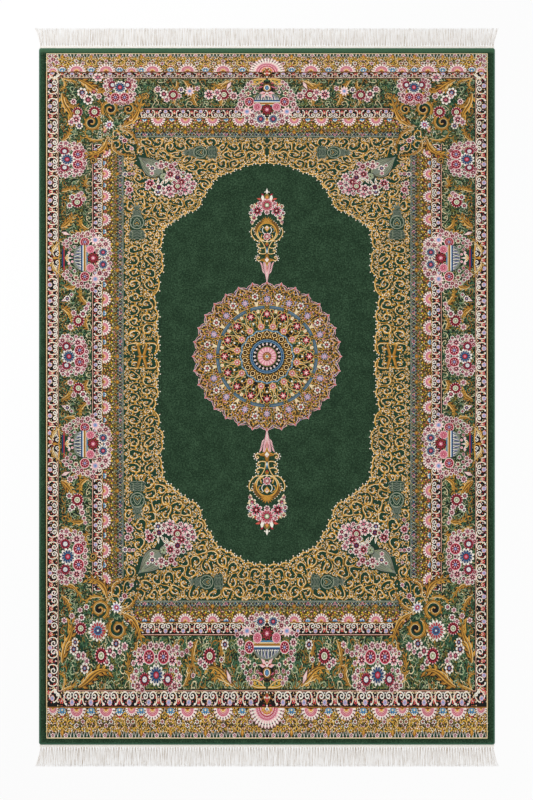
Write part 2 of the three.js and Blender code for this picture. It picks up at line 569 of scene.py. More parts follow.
def curls(circles, width, body, light, dot, layer, turns, steps, leaves, hooks=0):
    """A curl in each circle, a little out of round. Its stem runs in from outside, it has leaves
    and hooked side stems, and it ends in a bud."""
    motif = Motif()
    centres, radius = circles[:, None, :2], circles[:, 2, None]
    first, hand = circles[:, 3, None], circles[:, 4, None]
    share = np.linspace(-0.15, 1, steps + 1)
    ahead = np.clip(share, 0, 1)
    behind = np.clip(-share, 0, 1)
    angle = first + hand * TURN * turns * share
    bend = 1 + 0.17 * np.cos(2 * angle + circles[:, :1] / 9)
    swell = (radius - width / 2) * (1 - 0.74 * ahead**1.3 + 22 * behind**2) * bend
    lines = centres + polar(swell, angle)
    scale = np.clip(radius / 15, 0.6, 1.1)
    widths = scale * np.interp(share, (-0.15, 0.2, 0.6, 1), (width * 0.4, width * 1.15, width, width * 0.5))
    motif.lay(body, layer, stroke(lines, widths))
    if light:
        offset = (hand * widths)[..., None]
        for start, end, yarn, shift in ((0, 0.5, "amber", -0.3), (0.15, 0.45, light, 0.27),
                                        (0.55, 0.85, dot, 0.27)):
            lit = slice(round(start * steps), round(end * steps) + 1)
            motif.lay(yarn, layer + 1, stroke(lines[:, lit], widths[:, lit] * 0.34, shift * offset[:, lit]))
    motif.lay(dot, layer + 2, discs(lines[:, -1], width * 0.42, 6))
    picks = np.linspace(steps * 0.16, steps * 0.8, leaves).round().astype(int)
    for number, index in enumerate(picks):
        outward = polar(np.ones(len(circles)), angle[:, index])
        onward = outward[:, ::-1] * (-1, 1) * hand
        base = lines[:, index]
        if number % 2:
            motif.lay(body, layer, kites(base, onward * 0.9 - outward, width * 1.9, width * 0.66))
        else:
            way = outward + onward * 0.8
            motif.lay(body, layer, kites(base, way, width * 2.2, width * 0.8))
            motif.lay(dot, layer + 2, discs(base + way / 1.28 * width * 1.7, width * 0.36, 5))
    hook = bezier((0, 0), (0.34, 0.04), (0.62, 0.24), (0.5, 0.5), (0.26, 0.4), steps=4)
    for number, index in enumerate(np.linspace(steps * 0.3, steps * 0.72, hooks).round().astype(int)):
        outward = polar(np.ones(len(circles)), angle[:, index])
        onward = outward[:, ::-1] * (-1, 1) * hand
        side = 1 if number % 2 else -1
        line = lines[:, index, None] + radius[:, None] * (
            hook[:, :1] * onward[:, None] + side * hook[:, 1:] * outward[:, None])
        motif.lay(body, layer, stroke(line, width * np.array([0.9, 0.8, 0.7, 0.6, 0.5])))
        motif.lay(dot, layer + 2, discs(line[:, -1], width * 0.36, 5))
    return motif


def swayed(motif):
    """The same motif with its lines a little uneven, as if drawn freely."""
    reach, wave = 4.2, 66
    whole = Motif()
    for (yarn, layer, _), arrays in motif.shapes.items():
        faces = np.concatenate(arrays)
        x, y = faces[..., 0] * TURN / wave, faces[..., 1] * TURN / wave
        shift = np.stack([np.sin(y + np.sin(0.63 * x)), np.sin(0.9 * x + np.sin(0.71 * y))], axis=-1)
        whole.lay(yarn, layer, faces + reach * shift)
    return whole


def sprigs(circles, width, body, dot, layer):
    """Three leaves and a bud in each circle that is too small for a curl."""
    motif = Motif()
    centres, radius = circles[:, :2], circles[:, 2]
    for turn in (-1, 0, 1):
        angle = circles[:, 3] + turn
        outward = polar(radius * 1.2, angle)
        leaf = np.stack([
            centres - polar(radius * 0.8, circles[:, 3]), centres + polar(radius * 0.5, angle - 0.6),
            centres + outward, centres + polar(radius * 0.5, angle + 0.6),
        ], axis=1)
        motif.lay(body, layer, leaf)
    return motif.lay(dot, layer + 1, discs(centres + polar(radius * 0.5, circles[:, 3]), width * 0.4, 5))


def scatter(outline, pitch, motifs, layer, clear=(), inset=0.0):
    """Copies of some small motifs strewn over a zone, each turned its own way."""
    outline = np.asarray(outline, float)
    low, high = outline.min(axis=0), outline.max(axis=0)
    columns = [np.arange(a + pitch / 2, b, pitch) for a, b in zip(low, high)]
    points = np.stack(np.meshgrid(*columns), axis=-1)
    points[::2, :, 0] += pitch / 2
    points = points.reshape(-1, 2)
    rng = np.random.default_rng(SEED)
    points = points + rng.uniform(-0.3, 0.3, points.shape) * pitch
    angles = rng.uniform(0, TURN, len(points))
    choice = rng.integers(0, len(motifs), len(points))
    good = inside(points, outline) & (distance_to_edges(points, outline) > inset)
    for across, along, radius in clear:
        good &= np.hypot(points[:, 0] - across, points[:, 1] - along) > radius
    whole = Motif()
    for number, motif in enumerate(motifs):
        chosen = good & (choice == number)
        if not chosen.any():
            continue
        cos, sin = np.cos(angles[chosen]), np.sin(angles[chosen])
        turns = np.stack([cos, sin, -sin, cos], axis=1).reshape(-1, 2, 2)
        for (yarn, height, corners), arrays in motif.shapes.items():
            copies = np.einsum("mcx,kxy->kmcy", np.concatenate(arrays), turns)
            copies = copies + points[chosen][:, None, None, :]
            whole.lay(yarn, layer + height, copies.reshape(-1, corners, 2))
    return whole


def knots(radius, *yarns):
    """One small round knot of pile of each yarn, to strew."""
    return [Motif().lay(yarn, 0, disc(radius, 5)) for yarn in yarns]


def twig(stem, leaf, length, width):
    """A curved twig with two leaves."""
    line = bezier((-0.5, -0.18), (-0.1, 0.36), (0.2, -0.34), (0.5, 0.2), steps=3) * length
    motif = Motif().lay(stem, 0, stroke(line, width))
    places = np.array([(-0.16, 0), (0.16, 0)]) * length
    return motif.lay(leaf, 1, kites(places, [(0.5, 1), (0.4, -1)], length * 0.42, width * 1.05))


def guard_repeat(pitch, width, light=4.4):
    """A lilac bloom under two ivory volutes, with a red bud to one side. Local +y runs outwards
    from the band's inner edge."""
    motif, half = Motif(), Motif()
    size = (pitch, width)
    radius = pitch * 0.13
    head = spiral(radius, 1.2, 10, hand=-1, inner=0.16, bow=1.1) @ np.array([[0, -1], [1, 0]])
    centre = np.array([pitch * 0.165, radius + 0.07 * width])
    half.lay("ivory", 5, stroke(centre + head, light))
    line = bezier((0.165, 0.07), (0.34, -0.03), (0.47, 0.3), (0.47, 0.92), (0.2, 1.06),
                  (0.2, 0.72), (0.31, 0.76), steps=12)
    half.stack(
        5, ivory=stroke(line * size, taper(12, light, light, light * 0.7)),
        cream=stroke(line[:8] * size, light * 0.3, light * 0.2))
    half.lay("cream", 5, kites(np.array([(0.3, 0.1), (0.44, 0.42)]) * size, [(1, -0.2), (0.5, 0.9)], 11, 4))
    half.lay("coral", 4, discs(np.array([(0.33, 0.38), (0.15, 0.97)]) * size, 2.8, 5))
    half.lay("cream", 6, discs(np.array([(0.5, 0.13), (0.08, 0.56)]) * size, 2.4, 5))
    motif.put_pair(half)
    y, share = 0.7 * width, width / 52
    bloom = discs(polar(5.4 * np.ones(5), np.arange(5) * TURN / 5 + TURN / 4), 3.6, 6) * share
    motif.stack(3, pale_pink=disc(10.4 * share, 9, 0, y), lilac=bloom + (0, y), sky=disc(2.6, 5, 0, y))
    motif.lay("ivory", 4, disc(3, 5, 0, 0.12 * width))
    petal = discs(polar(6.8 * np.ones(5), np.arange(5) * TURN / 5 - TURN / 4), 3.3, 6) * share
    motif.stack(
        3, coral=petal + (pitch / 2, 0.62 * width), crimson=disc(5.6 * share, 7, pitch / 2, 0.62 * width))
    return motif.lay("pale_pink", 5, disc(2.4 * share, 6, pitch / 2, 0.62 * width))


def run_along(layout, motif_for, side_places, end_places, inner, outer, outward=True, ends=BOTH_ENDS):
    """Repeats a motif along a band, at the given places up its sides and across its ends. Local +y
    points outwards, or inwards."""
    (x0, y0), (x1, y1) = BANDS[inner], BANDS[outer]
    out = 1 if outward else -1
    x_base, y_base = (x0, y0) if outward else (x1, y1)
    if len(side_places):
        motif = motif_for(side_places[1] - side_places[0], x1 - x0)
        for place in side_places:
            stamped = Motif().put(motif, x_base, place, -out * TURN / 4)
            layout.spread(stamped, True, ends if place else FAR_END)
    motif = motif_for(end_places[1] - end_places[0], y1 - y0)
    for place in end_places:
        stamped = Motif().put(motif, place, y_base, 0 if outward else TURN / 2)
        layout.spread(stamped, place > 0, ends)


# ---- the bands


def frame_band(inner, outer):
    """The quarter of a band that runs round the carpet, between two half-sizes."""
    (x0, y0), (x1, y1) = inner, outer
    return np.array([
        [(x0, 0), (x1, 0), (x1, y1), (x0, y0)],
        [(0, y0), (x0, y0), (x1, y1), (0, y1)],
    ], float)


def frame_line(half_size, width):
    """The quarter of a line that runs round the carpet."""
    (x, y), half = half_size, width / 2
    return frame_band((x - half, y - half), (x + half, y + half))


def draw_bands(layout):
    """The grounds of the bands, the lines between them and what repeats along them."""
    grounds = (  # inner edge, outer edge, yarn
        ("arabesque", "blue_row", "black"),
        ("blue_row", "lattice", "umber"),
        ("lattice", "beads", "umber"),
        ("beads", "fans", "umber"),
        ("fans", "inner_guard", "black"),
        ("inner_guard", "main_border", "deep_green"),
        ("main_border", "outer_guard", "black"),
    )
    ground = Motif()
    for inner, outer, yarn in grounds:
        ground.lay(yarn, 1, frame_band(BANDS[inner], BANDS[outer]))
    x, y = BANDS["outer_guard"]
    top = BANDS["end_band"][1]
    ground.lay("umber", 1, [(0, y), (x, y), (x, top), (0, top)])
    for name, yarn, width in (
        ("arabesque", "grey_green", 4.5), ("fans", "black", 8), ("fans", "amber", 3.4),
        ("inner_guard", "black", 7), ("inner_guard", "amber", 3.2), ("inner_guard", "pale_pink", 1.2),
        ("main_border", "black", 8), ("main_border", "amber", 3.2), ("main_border", "pale_pink", 1.2),
        ("outer_guard", "black", 8), ("outer_guard", "amber", 3.4),
    ):
        layer = 4 if width > 6 else 5 if width > 2 else 6  # a thin line lies on a wide one
        ground.lay(yarn, layer, frame_line(BANDS[name], width))
    ground.lay("cream", 7, [(x - 3, 0), (x, 0), (x, top), (x - 3, top - 3)])
    ground.lay("cream", 7, [(0, top - 3), (x - 3, top - 3), (x, top), (0, top)])
    layout.spread(ground)
    for inner, outer, pitch, radius, yarns in (
        ("fans", "inner_guard", 9.6, 2.5, ("crimson", "pale_pink", "coral", "cream", "black", "amber")),
        ("main_border", "outer_guard", 9.6, 2.6,
            ("crimson", "pale_pink", "coral", "cream", "black", "amber")),
        ("beads", "fans", 7.2, 2.6, ("gold", "olive", "cream", "yellow", "coral", "black", "olive")),
        ("blue_row", "beads", 6.2, 2.5,
            ("amber", "olive", "black", "gold", "grey_green", "sage", "black", "rose")),
        ("arabesque", "blue_row", 6.2, 2.4,
            ("navy", "umber", "amber", "sky", "grey_green", "olive", "rose", "navy")),
    ):
        for quad in frame_band(BANDS[inner], BANDS[outer]):
            layout.spread(scatter(quad, pitch, knots(radius, *yarns), 2, inset=2))

    count = np.arange(10)
    blooms = 69 + 91 * count - 0.6 * count**2  # closer together towards the corners
    for ends, light in ((NEAR_END, 4.6), (FAR_END, 2.6)):
        run_along(layout, lambda pitch, width: guard_repeat(pitch, width, light), (), blooms,
                  "main_border", "outer_guard", ends=ends)
    corner = guard_repeat(46, 48)
    layout.place(corner, BANDS["main_border"][0] + 1, BANDS["main_border"][1] + 1, -TURN / 8)
    run_along(layout, lambda pitch, width: guard_repeat(pitch, width, 3.5),
              np.arange(38, 1110, 76), np.arange(57, 690, 76), "fans", "inner_guard")
    inner, outer = BANDS["main_border"][0], BANDS["outer_guard"][0]
    # up the sides each bloom stands a little further from the last
    for end, first, growth in ((1, 68, 0.03), (-1, 72, 0.069)):
        for count in np.arange(0.5, 16):
            unit = guard_repeat(first + 3 * growth * count**2, outer - inner)
            reach = first * count + growth * count**3
            for side in (1, -1):
                layout.put_direct(unit, side * inner, MIDDLE + end * reach, -side * TURN / 4)
    draw_fans(layout)
    draw_lattice(layout)
    draw_end_bands(layout)


def draw_fans(layout):
    """The row of half flowers that open inwards, with a small bloom between each two."""
    small = Motif().stack(
        3, ivory=disc(9, 8, 0, 5), sky=petals(3, 0, 12, 7, 0, TURN / 2), navy=disc(3, 5, 0, 4))
    small.level(
        3, gold=discs([(-14, 20), (14, 20), (0, 26)], 3.4, 5), coral=discs([(-17, 8), (17, 8)], 3.4, 5))

    def motif_for(pitch, _):
        return Motif().put(fan(30)).put(small, pitch / 2, 2)

    places = np.arange(0, 1060, 117.2)
    run_along(layout, motif_for, places, places[:6], "beads", "fans", outward=False)


def draw_lattice(layout):
    """Yellow beads under the fans, and the blue row with its crossed lines beside the arabesque."""

    def beads(pitch, _):
        motif = Motif().stack(3, black=disc(6, 6, 0, 3), yellow=disc(4.4, 6, 0, 3))
        return motif.level(4, cream=disc(2.8, 5, pitch / 2, -2), gold=disc(2.6, 5, pitch / 4, 6))

    def lattice(pitch, width):
        motif = Motif()
        motif.lay(
            "olive", 3, stroke(bezier((-pitch / 2, 2), (0, width * 1.7), (pitch / 2, 2), steps=6), 2.2))
        return motif.lay("amber", 3, blade(1, width * 0.6, 7))

    def blue_row(pitch, width):
        motif = Motif()
        motif.lay("grey_green", 3, stroke([(-pitch / 2, 0), (0, width)], 2.3))
        motif.stack(
            3, grey_green=stroke([(-pitch / 2, width), (0, 0)], 2.3),
            sage=stroke([(0, width), (pitch / 2, 0)], 1.8))
        motif.lay("sage", 4, stroke([(0, 0), (pitch / 2, width)], 1.8))
        return motif.lay("pale_pink", 5, disc(1.7, 5, pitch / 4, width / 2))

    def blobs(pitch, width):
        motif = Motif().stack(6, amber=oval(9, 8, 8, 0, width), gold=disc(3.6, 5, 0, width))
        for x, y in ((0, 0.3), (5, 0.6), (-5, 0.6)):
            motif.lay("rose", 6, disc(3, 6, pitch / 2 + x, y * width))
        return motif

    for motif_for, pitch, inner, outer in (
        (beads, 29.3, "lattice", "beads"), (lattice, 29.3, "blue_row", "lattice"),
        (blue_row, 30, "arabesque", "blue_row"), (blobs, 117.2, "arabesque", "blue_row"),
    ):
        side, end = BANDS[outer]
        run_along(layout, motif_for, np.arange(0, end, pitch), np.arange(0, side, pitch), inner, outer)


END_FANS = (  # across, radius
    (0, 74), (189, 40), (342, 40), (493, 39), (583, 26), (693, 39), (820, 39), (922, 24),
)
END_DROPS = (106, 265, 415, 541, 635, 757, 882)


def draw_end_bands(layout):
    """The wide band past the borders at each end: fans along its inner line, a gold filigree
    behind them and small flowers along its outer edge."""
    (width, low), high = BANDS["outer_guard"], BANDS["end_band"][1]
    drop = Motif().stack(
        3, ivory=oval(14, 16, 8, 0, 12), navy=oval(11, 12, 8, 0, 11),
        sky=petals(3, 2, 25, 9, 0.5, TURN / 2 - 1), cream=disc(4, 6, 0, 8))
    drop.lay("cream", 6, discs([(-12, 12), (12, 12), (0, 21)], 2.6, 5))
    drop.stack(5, crimson=disc(5, 6, 0, 31), coral=disc(2.4, 6, 0, 33))
    drop.stack(
        5, crimson=discs([(-9, 27), (9, 27)], 3, 5), amber=blade(66, 30, 17, 0.6), gold=blade(70, 20, 8))
    for hand in (1, -1):
        loop = bezier((4, 34), (30, 40), (28, 66), (5, 70), steps=5) * (hand, 1)
        drop.stack(3, gold=stroke(loop, 4), cream=stroke(loop, 1.4))
    clear = []
    for across, radius in END_FANS:
        flower = fan(radius, 10) if across else fan(radius, 16, rise=0)
        layout.spread(Motif().put(flower, across, low), across > 0, anchor=low)
        clear.append((across, low, radius - 2))
    crest = Motif().stack(
        12, gold=kites([(0, 0)] * 5, polar(np.ones(5), np.linspace(0.5, 2.64, 5)), 32, 10),
        crimson=discs(polar(13 * np.ones(4), np.linspace(0.8, 2.34, 4)), 3, 5))
    crest.stack(13, ivory=kites([(0, -2)] * 3, [(-0.7, 1), (0, 1), (0.7, 1)], 20, 8), sky=disc(4, 6, 0, 6))
    layout.spread(Motif().put(crest, 0, low), False, anchor=low)
    for across in END_DROPS:
        layout.spread(Motif().put(drop, across, low))
        clear.append((across, low + 10, 16))
    zone = np.array([(0, low), (width, low), (width, high - 16), (0, high - 16)], float)
    flowers = [(across, low + 58) for across, radius in END_FANS if 30 < radius < 60]
    flowers += [(across + side * 36, low + 46) for across in END_DROPS for side in (1, -1) if across < 850]
    for number, (across, along) in enumerate(flowers):
        small = blossom(9.5, ("pale_pink", "ivory", "cream")[number % 3], "crimson", "gold")
        layout.place(small, across, along, lift=4)
        clear.append((across, along, 9))
    circles = pack_circles(zone, clear, (13, 10, 7.5), 2, -1)
    layout.spread(curls(circles, 4, "gold", None, "cream", 2, 1.1, 9, 3))
    small = pack_circles(zone, clear + [tuple(c[:3]) for c in circles], (5.2, 3.8), 1.8)
    layout.spread(sprigs(small, 4.2, "olive", "pale_pink", 2))
    strewn = knots(2.4, "yellow", "pale_pink", "ivory", "cream", "gold", "yellow", "black", "olive")
    layout.spread(scatter(zone, 8, strewn, 5, clear))
    edge = Motif()
    for across in repeat(56, 0, width):
        edge.put(blossom(9, "pale_pink", "rose", "ivory"), across, high - 10, lift=2)
        for side in (-28, -14, 14, 28, 42) if across < 40 else (14, 28, 42):
            x, tip = across + side, high - (20 if side % 28 else 28)
            if x > width - 8:
                continue
            edge.stack(
                3, deep_green=[(x - 8, high - 2), (x + 8, high - 2), (x, tip)],
                ivory=stroke([(x - 8, high - 3), (x, tip - 2), (x + 8, high - 3)], 2))
            edge.lay("rose", 4, disc(2, 5, x + 7, high - 6))
    layout.spread(edge)
    # the flower group in each far corner
    for number, (x, y, radius, kind) in enumerate((
        (30, 30, 18, "pink"), (14, 16, 11, "ivory"), (44, 48, 13, "blush"), (14, 40, 11, "blush"),
        (40, 16, 12, "cream"), (18, 64, 11, "pink"),
    )):
        layout.place(FLOWERS[kind](radius), width - x, high - y, lift=8 + stagger(number), ends=FAR_END)


def stagger(number):
    """A lift that differs between neighbours, so that one flower lies over the next."""
    return number % 3 * 5


def bouquet(place):
    """The flowers that stand in a vase. Local +y runs from the border's outer edge inwards."""
    for number, (kind, s, n, radius) in enumerate(BOUQUET):
        for side in (1, -1):
            place(FLOWERS[kind](radius), side * s, n, lift=stagger(number))
    place(FLOWERS["pink"](13), 0, 208)
    place(lily(25), 0, 146, lift=12)


BOUQUET = (  # kind, across the vase, away from the border's outer edge, radius
    ("pink", 114, 122, 16), ("rose", 128, 142, 12), ("blush", 108, 148, 12), ("rose", 62, 174, 14),
    ("ivory", 86, 184, 14), ("pink", 66, 200, 17), ("blush", 44, 214, 12), ("ivory", 52, 154, 9),
    ("rose", 34, 162, 8), ("pink", 22, 220, 10), ("rose", 104, 96, 12), ("pink", 112, 80, 12),
    ("ivory", 103, 62, 11), ("cream", 80, 72, 12), ("ivory", 91, 46, 10), ("pink", 56, 34, 11),
    ("ivory", 53, 66, 9), ("blush", 81, 31, 11), ("rose", 41, 48, 8), ("pink", 93, 80, 8),
    ("rose", 71, 50, 9), ("starry", 86, 155, 25), ("rosette", 27, 189, 21), ("shell", 41, 134, 19),
    ("ringed", 76, 110, 20), ("ivory", 118, 102, 9), ("pink", 68, 20, 10),
)


def vase_bowl():
    """The striped bowl. Local +y runs from its foot to its rim."""
    bowl = Motif()
    side = bezier((20, 62), (42, 64), (53, 80), (56, 96), steps=6)
    bowl.stack(
        5, black=np.concatenate([side * (1.05, 1), side[::-1] * (-1.05, 1)]),
        grey_green=np.concatenate([side, side[::-1] * (-1, 1)]))
    for index, x in enumerate(np.arange(-46, 47, 7.7)):
        reach = np.interp(abs(x), (0, 22, 46), (63, 68, 82))
        middle = (reach + 94) / 2
        shift = 2.6 if index % 2 else -2.6
        zigzag = [(x * 0.9, reach), (x * 0.95 + shift, middle), (x, 94)]
        bowl.lay("ivory" if index % 2 else "lilac", 7, stroke(zigzag, 2.2))
        bowl.lay("black" if index % 2 else "navy", 7, stroke(np.array(zigzag) + (3.8, 2), 3))
    bowl.lay("ivory", 8, discs([(x, 90) for x in range(-48, 49, 8)], 2.4, 5))
    for low, high, yarn in (
        (94, 98, "navy"), (98, 101, "sky"), (101, 105, "ivory"), (105, 113, "amber"), (113, 116.5, "cream"),
        (116.5, 118, "navy"), (118, 122, "sky"),
    ):
        bowl.lay(yarn, 8, [(-56, low), (56, low), (56, high), (-56, high)])
    return bowl


def side_vase(place):
    """A striped vase on a gold stand that reaches into the outer guard."""
    bouquet(place)
    stand, half = Motif(), Motif()
    half.lay("black", 6, disc(15, 12, 19, -9))
    volute = spiral(11, 1.2, 10, inner=0.15, bow=1.1)
    half.lay("ivory", 7, stroke(volute + (19, -9), 4))
    leaf = acanthus(bezier((16, -30), (40, -34), (54, -18), (72, 2), steps=8), 14, 5, "gold", "cream")
    half.put(leaf, lift=8)
    half.lay("gold", 8, stroke(bezier((2, -2), (30, 6), (44, -4), (66, -2), steps=6), 5))
    stand.put_pair(half)
    stand.stack(8, amber=blade(-34, 34, 14), gold=blade(-28, 20, 6))
    place(stand, 0, 0, lift=-1)
    foot = Motif().stack(
        5, black=[(-40, 10), (40, 10), (36, 20), (-36, 20)],
        navy=[(-38, 12), (38, 12), (38, 17), (-38, 17)])
    foot.lay("crimson", 6, [(-60, 18), (60, 18), (56, 23), (-56, 23)])
    foot.stack(
        5, deep_green=[(-36, 24), (36, 24), (24, 62), (-24, 62)],
        ivory=kites([(0, 24)] * 3, [(-0.9, 1), (0, 1), (0.9, 1)], 34, 11),
        gold=kites([(0, 24)] * 3, [(-0.9, 1), (0, 1), (0.9, 1)], 25, 6))
    foot.stack(
        6, pale_pink=discs([(-16, 56), (16, 56), (-24, 42), (24, 42)], 6, 7),
        rose=discs([(-16, 56), (16, 56), (0, 56)], 3, 5))
    place(foot, 0, 0, lift=-1)
    place(vase_bowl(), 0, 0, lift=-1)


def end_vase(place):
    """The same vase on a jewelled foot between two gold wings. Each piece stands about its own
    place, so that the bowl keeps its height where the design is drawn out."""
    bouquet(place)
    wings, foot, drop, half = Motif(), Motif(), Motif(), Motif()
    wing = bezier((4, -12), (40, -16), (86, -14), (92, 14), (66, 26), (30, 12), (14, -8), steps=12)
    half.stack(8, gold=stroke(wing, 5), cream=stroke(wing, 1.6, 1))
    inner_wing = bezier((10, -10), (44, -8), (70, -4), (64, 10), (46, 8), (48, 0), steps=8)
    half.stack(8, gold=stroke(inner_wing, 4), yellow=stroke(inner_wing, 1.6))
    half.lay("gold", 8, kites([(30, -6), (48, -4), (66, 2)], [(0.6, 1), (0.6, 1), (0.6, 1)], 17, 7))
    wings.put_pair(half)
    half = Motif()
    half.level(
        7, umber=stroke(bezier((4, -20), (26, -18), (38, -8), (30, 12), steps=6), 7),
        rose=kites([(14, -16), (16, -8)], [(1, -0.5), (1, 0.4)], 26, 9))
    half.lay("crimson", 8, kites([(16, -16), (18, -8)], [(1, -0.5), (1, 0.4)], 20, 4))
    half.stack(
        7, pale_pink=kites([(4, 20), (4, 26)], [(1, 0.15), (1, 0.9)], 30, 13),
        coral=kites([(6, 22)], [(1, 0.4)], 20, 4))
    foot.put_pair(half)
    for hand in (1, -1):
        drop.lay("ivory", 8, discs([(9 * hand, -22)], 4, 6))
        drop.lay("amber", 7, kites([(0, -16)], [(hand, -0.5)], 26, 9))
    foot.lay("black", 5, disc(30, 12))
    foot.stack(8, amber=disc(18, 9), ivory=disc(13, 8), navy=oval(9, 11, 8), sky=oval(6, 8, 8))
    foot.stack(7, ivory=blade(16, 22, 18, 0.6), crimson=disc(4, 6, 0, 30))
    drop.stack(
        6, black=blade(-54, 56, 44, 0.5), amber=blade(-48, 46, 30, 0.5), crimson=blade(-42, 34, 18, 0.5),
        coral=blade(-36, 20, 9, 0.5))
    drop.lay("ivory", 9, discs([(0, -50), (0, -4)], 3.6, 6)).lay("ivory", 10, disc(3, 5, 0, -24))
    place(drop, 0, 0, lift=2)
    place(wings, 0, 18)
    place(foot, 0, 46)
    place(Motif().put(vase_bowl(), 0, -108), 0, 116, lift=-1)


# ---- the main border


def cluster(place, wide=1, full=1):
    """The big flower group of the main border. Local +y runs from the outer edge inwards."""
    for number, (kind, s, n, radius) in enumerate(CLUSTER):
        for side in (1, -1):
            place(FLOWERS[kind](radius * full), side * s * wide, n, lift=stagger(number))
    for side in (1, -1):
        place(ring_rose(21 * full, "crimson", "rose", "sky", "ivory"), side * 50 * wide, 29, lift=12)
        place(ringed(24 * full), side * 31 * wide, 86, lift=10)
    place(FLOWERS["pink"](13), 0, 113)
    place(FLOWERS["navy"](10), 0, 87, lift=2)
    place(FLOWERS["ivory"](8), 0, 73)
    place(rosette(31 * full), 0, 40, lift=13)


CLUSTER = (  # kind, across the group, away from the border's outer edge, radius
    ("pink", 69, 78, 22), ("ivory", 86, 50, 13), ("blush", 99, 34, 15), ("pink", 80, 12, 19),
    ("rose", 60, 3, 12), ("rose", 52, 108, 14), ("pink", 24, 115, 14), ("ivory", 92, 94, 11),
    ("blush", 98, 70, 11), ("pink", 64, 53, 9), ("ivory", 100, 14, 11), ("blush", 74, 102, 11),
    ("ivory", 64, 98, 9), ("cream", 84, 32, 9),
)


FLOWER_LAYER = 8


def side_frame(layout, across, along, ends=None):
    """Places motifs from a point on the side border, with local +y towards the field. A group on
    the short axis is mirrored side to side only."""
    ends = ends or (BOTH_ENDS if along > 0 else FAR_END)

    def place(motif, s, n, turn=0, lift=0):
        stamped = Motif().put(motif, across - n, along + s, TURN / 4 + turn, lift=FLOWER_LAYER - 3 + lift)
        layout.spread(stamped, True, ends, anchor=along + s)

    return place


def end_frame(layout, across, along, ends=BOTH_ENDS):
    """Places motifs from a point on the end border, with local +y towards the field."""

    def place(motif, s, n, turn=0, lift=0):
        stamped = Motif().put(motif, across - s, along - n, TURN / 2 + turn, lift=FLOWER_LAYER - 3 + lift)
        layout.spread(stamped, across > 0, ends, anchor=along - n)

    return place


CORNER = BANDS["inner_guard"]  # the corner groups lie about here


FLOWERS = {
    "pink": lambda radius: blossom(radius, "pale_pink", "crimson", "ivory", 7),
    "blush": lambda radius: blossom(radius, "pale_pink", "rose", "crimson", 6),
    "rose": lambda radius: blossom(radius, "rose", "crimson", "ivory", 7),
    "ivory": lambda radius: blossom(radius, "ivory", "rose", "crimson", 7),
    "cool": lambda radius: blossom(radius, "ivory", "sky", "rose", 7),
    "cream": lambda radius: blossom(radius, "cream", "crimson", "rose", 6),
    "navy": lambda radius: blossom(radius, "ivory", "navy", "crimson", 8),
    "starry": starry,
    "shell": shell,
    "rosette": rosette,
    "sunny": lambda radius: rosette(radius, "ivory", "crimson", "black", "black", 15, "pale_pink").put(
        rosette(radius * 0.46, "sky", "navy", "sky", "ivory", 8, "crimson"), lift=8),
    "ring": ring_rose,
    "ringed": ringed,
}


NEAR_FLOWERS = (  # of the main border: kind, across, along, radius
    ("blush", 873, 1096, 11), ("pink", 840, 1078, 11), ("ivory", 798, 1084, 13), ("blush", 818, 1100, 10),
    ("blush", 805, 1055, 10), ("ivory", 778, 1043, 11), ("cool", 832, 1184, 17), ("ivory", 812, 1200, 14),
    ("cool", 826, 1166, 13), ("blush", 792, 1200, 12), ("blush", 776, 1214, 10), ("cool", 785, 1232, 17),
    ("cool", 650, 1170, 18), ("blush", 613, 1177, 13), ("ivory", 676, 1188, 15), ("pink", 660, 1198, 10),
    ("ivory", 690, 1216, 12), ("blush", 670, 1230, 9), ("blush", 634, 1190, 9), ("ring", 802, 1125, 24),
    ("ring", 714, 1200, 26), ("sunny", 728, 1133, 37), ("ring", 817, 622, 25), ("ivory", 838, 650, 13),
    ("blush", 802, 650, 11), ("pink", 796, 672, 12), ("ivory", 788, 694, 9), ("blush", 782, 712, 8),
    ("ivory", 852, 606, 12), ("pink", 848, 540, 13), ("blush", 824, 532, 8), ("cool", 848, 660, 9),
    ("ring", 247, 1201, 26), ("blush", 286, 1216, 12), ("cool", 181, 1172, 15), ("ivory", 268, 1226, 12),
    ("ivory", 196, 1210, 9), ("blush", 330, 1172, 10), ("rose", 345, 1188, 9), ("pink", 318, 1250, 8),
    ("blush", 388, 1180, 11), ("pink", 366, 1196, 10),
)


FAR_FLOWERS = (
    ("ivory", 745, 1226, 21), ("cool", 796, 1221, 20), ("ivory", 770, 1188, 20), ("pink", 833, 1180, 12),
    ("pink", 822, 1098, 19), ("blush", 842, 1086, 13), ("cool", 808, 1070, 14), ("blush", 790, 1204, 12),
    ("pink", 724, 1204, 12), ("ring", 816, 1132, 21), ("ring", 743, 1133, 25), ("blush", 728, 1292, 20),
    ("ring", 817, 674, 24), ("ivory", 838, 700, 13), ("blush", 812, 708, 12), ("blush", 790, 690, 10),
    ("ivory", 850, 656, 12), ("pink", 800, 720, 10), ("ring", 185, 1212, 19), ("pink", 249, 1212, 20),
    ("blush", 214, 1222, 14), ("ivory", 208, 1196, 12), ("pink", 143, 1206, 16), ("ivory", 160, 1228, 10),
    ("starry", 333, 1228, 18), ("ring", 404, 1210, 22), ("ivory", 444, 1214, 17), ("cool", 369, 1234, 12),
    ("blush", 432, 1190, 12), ("pink", 470, 1236, 13), ("blush", 378, 1206, 10), ("blush", 300, 1240, 10),
)


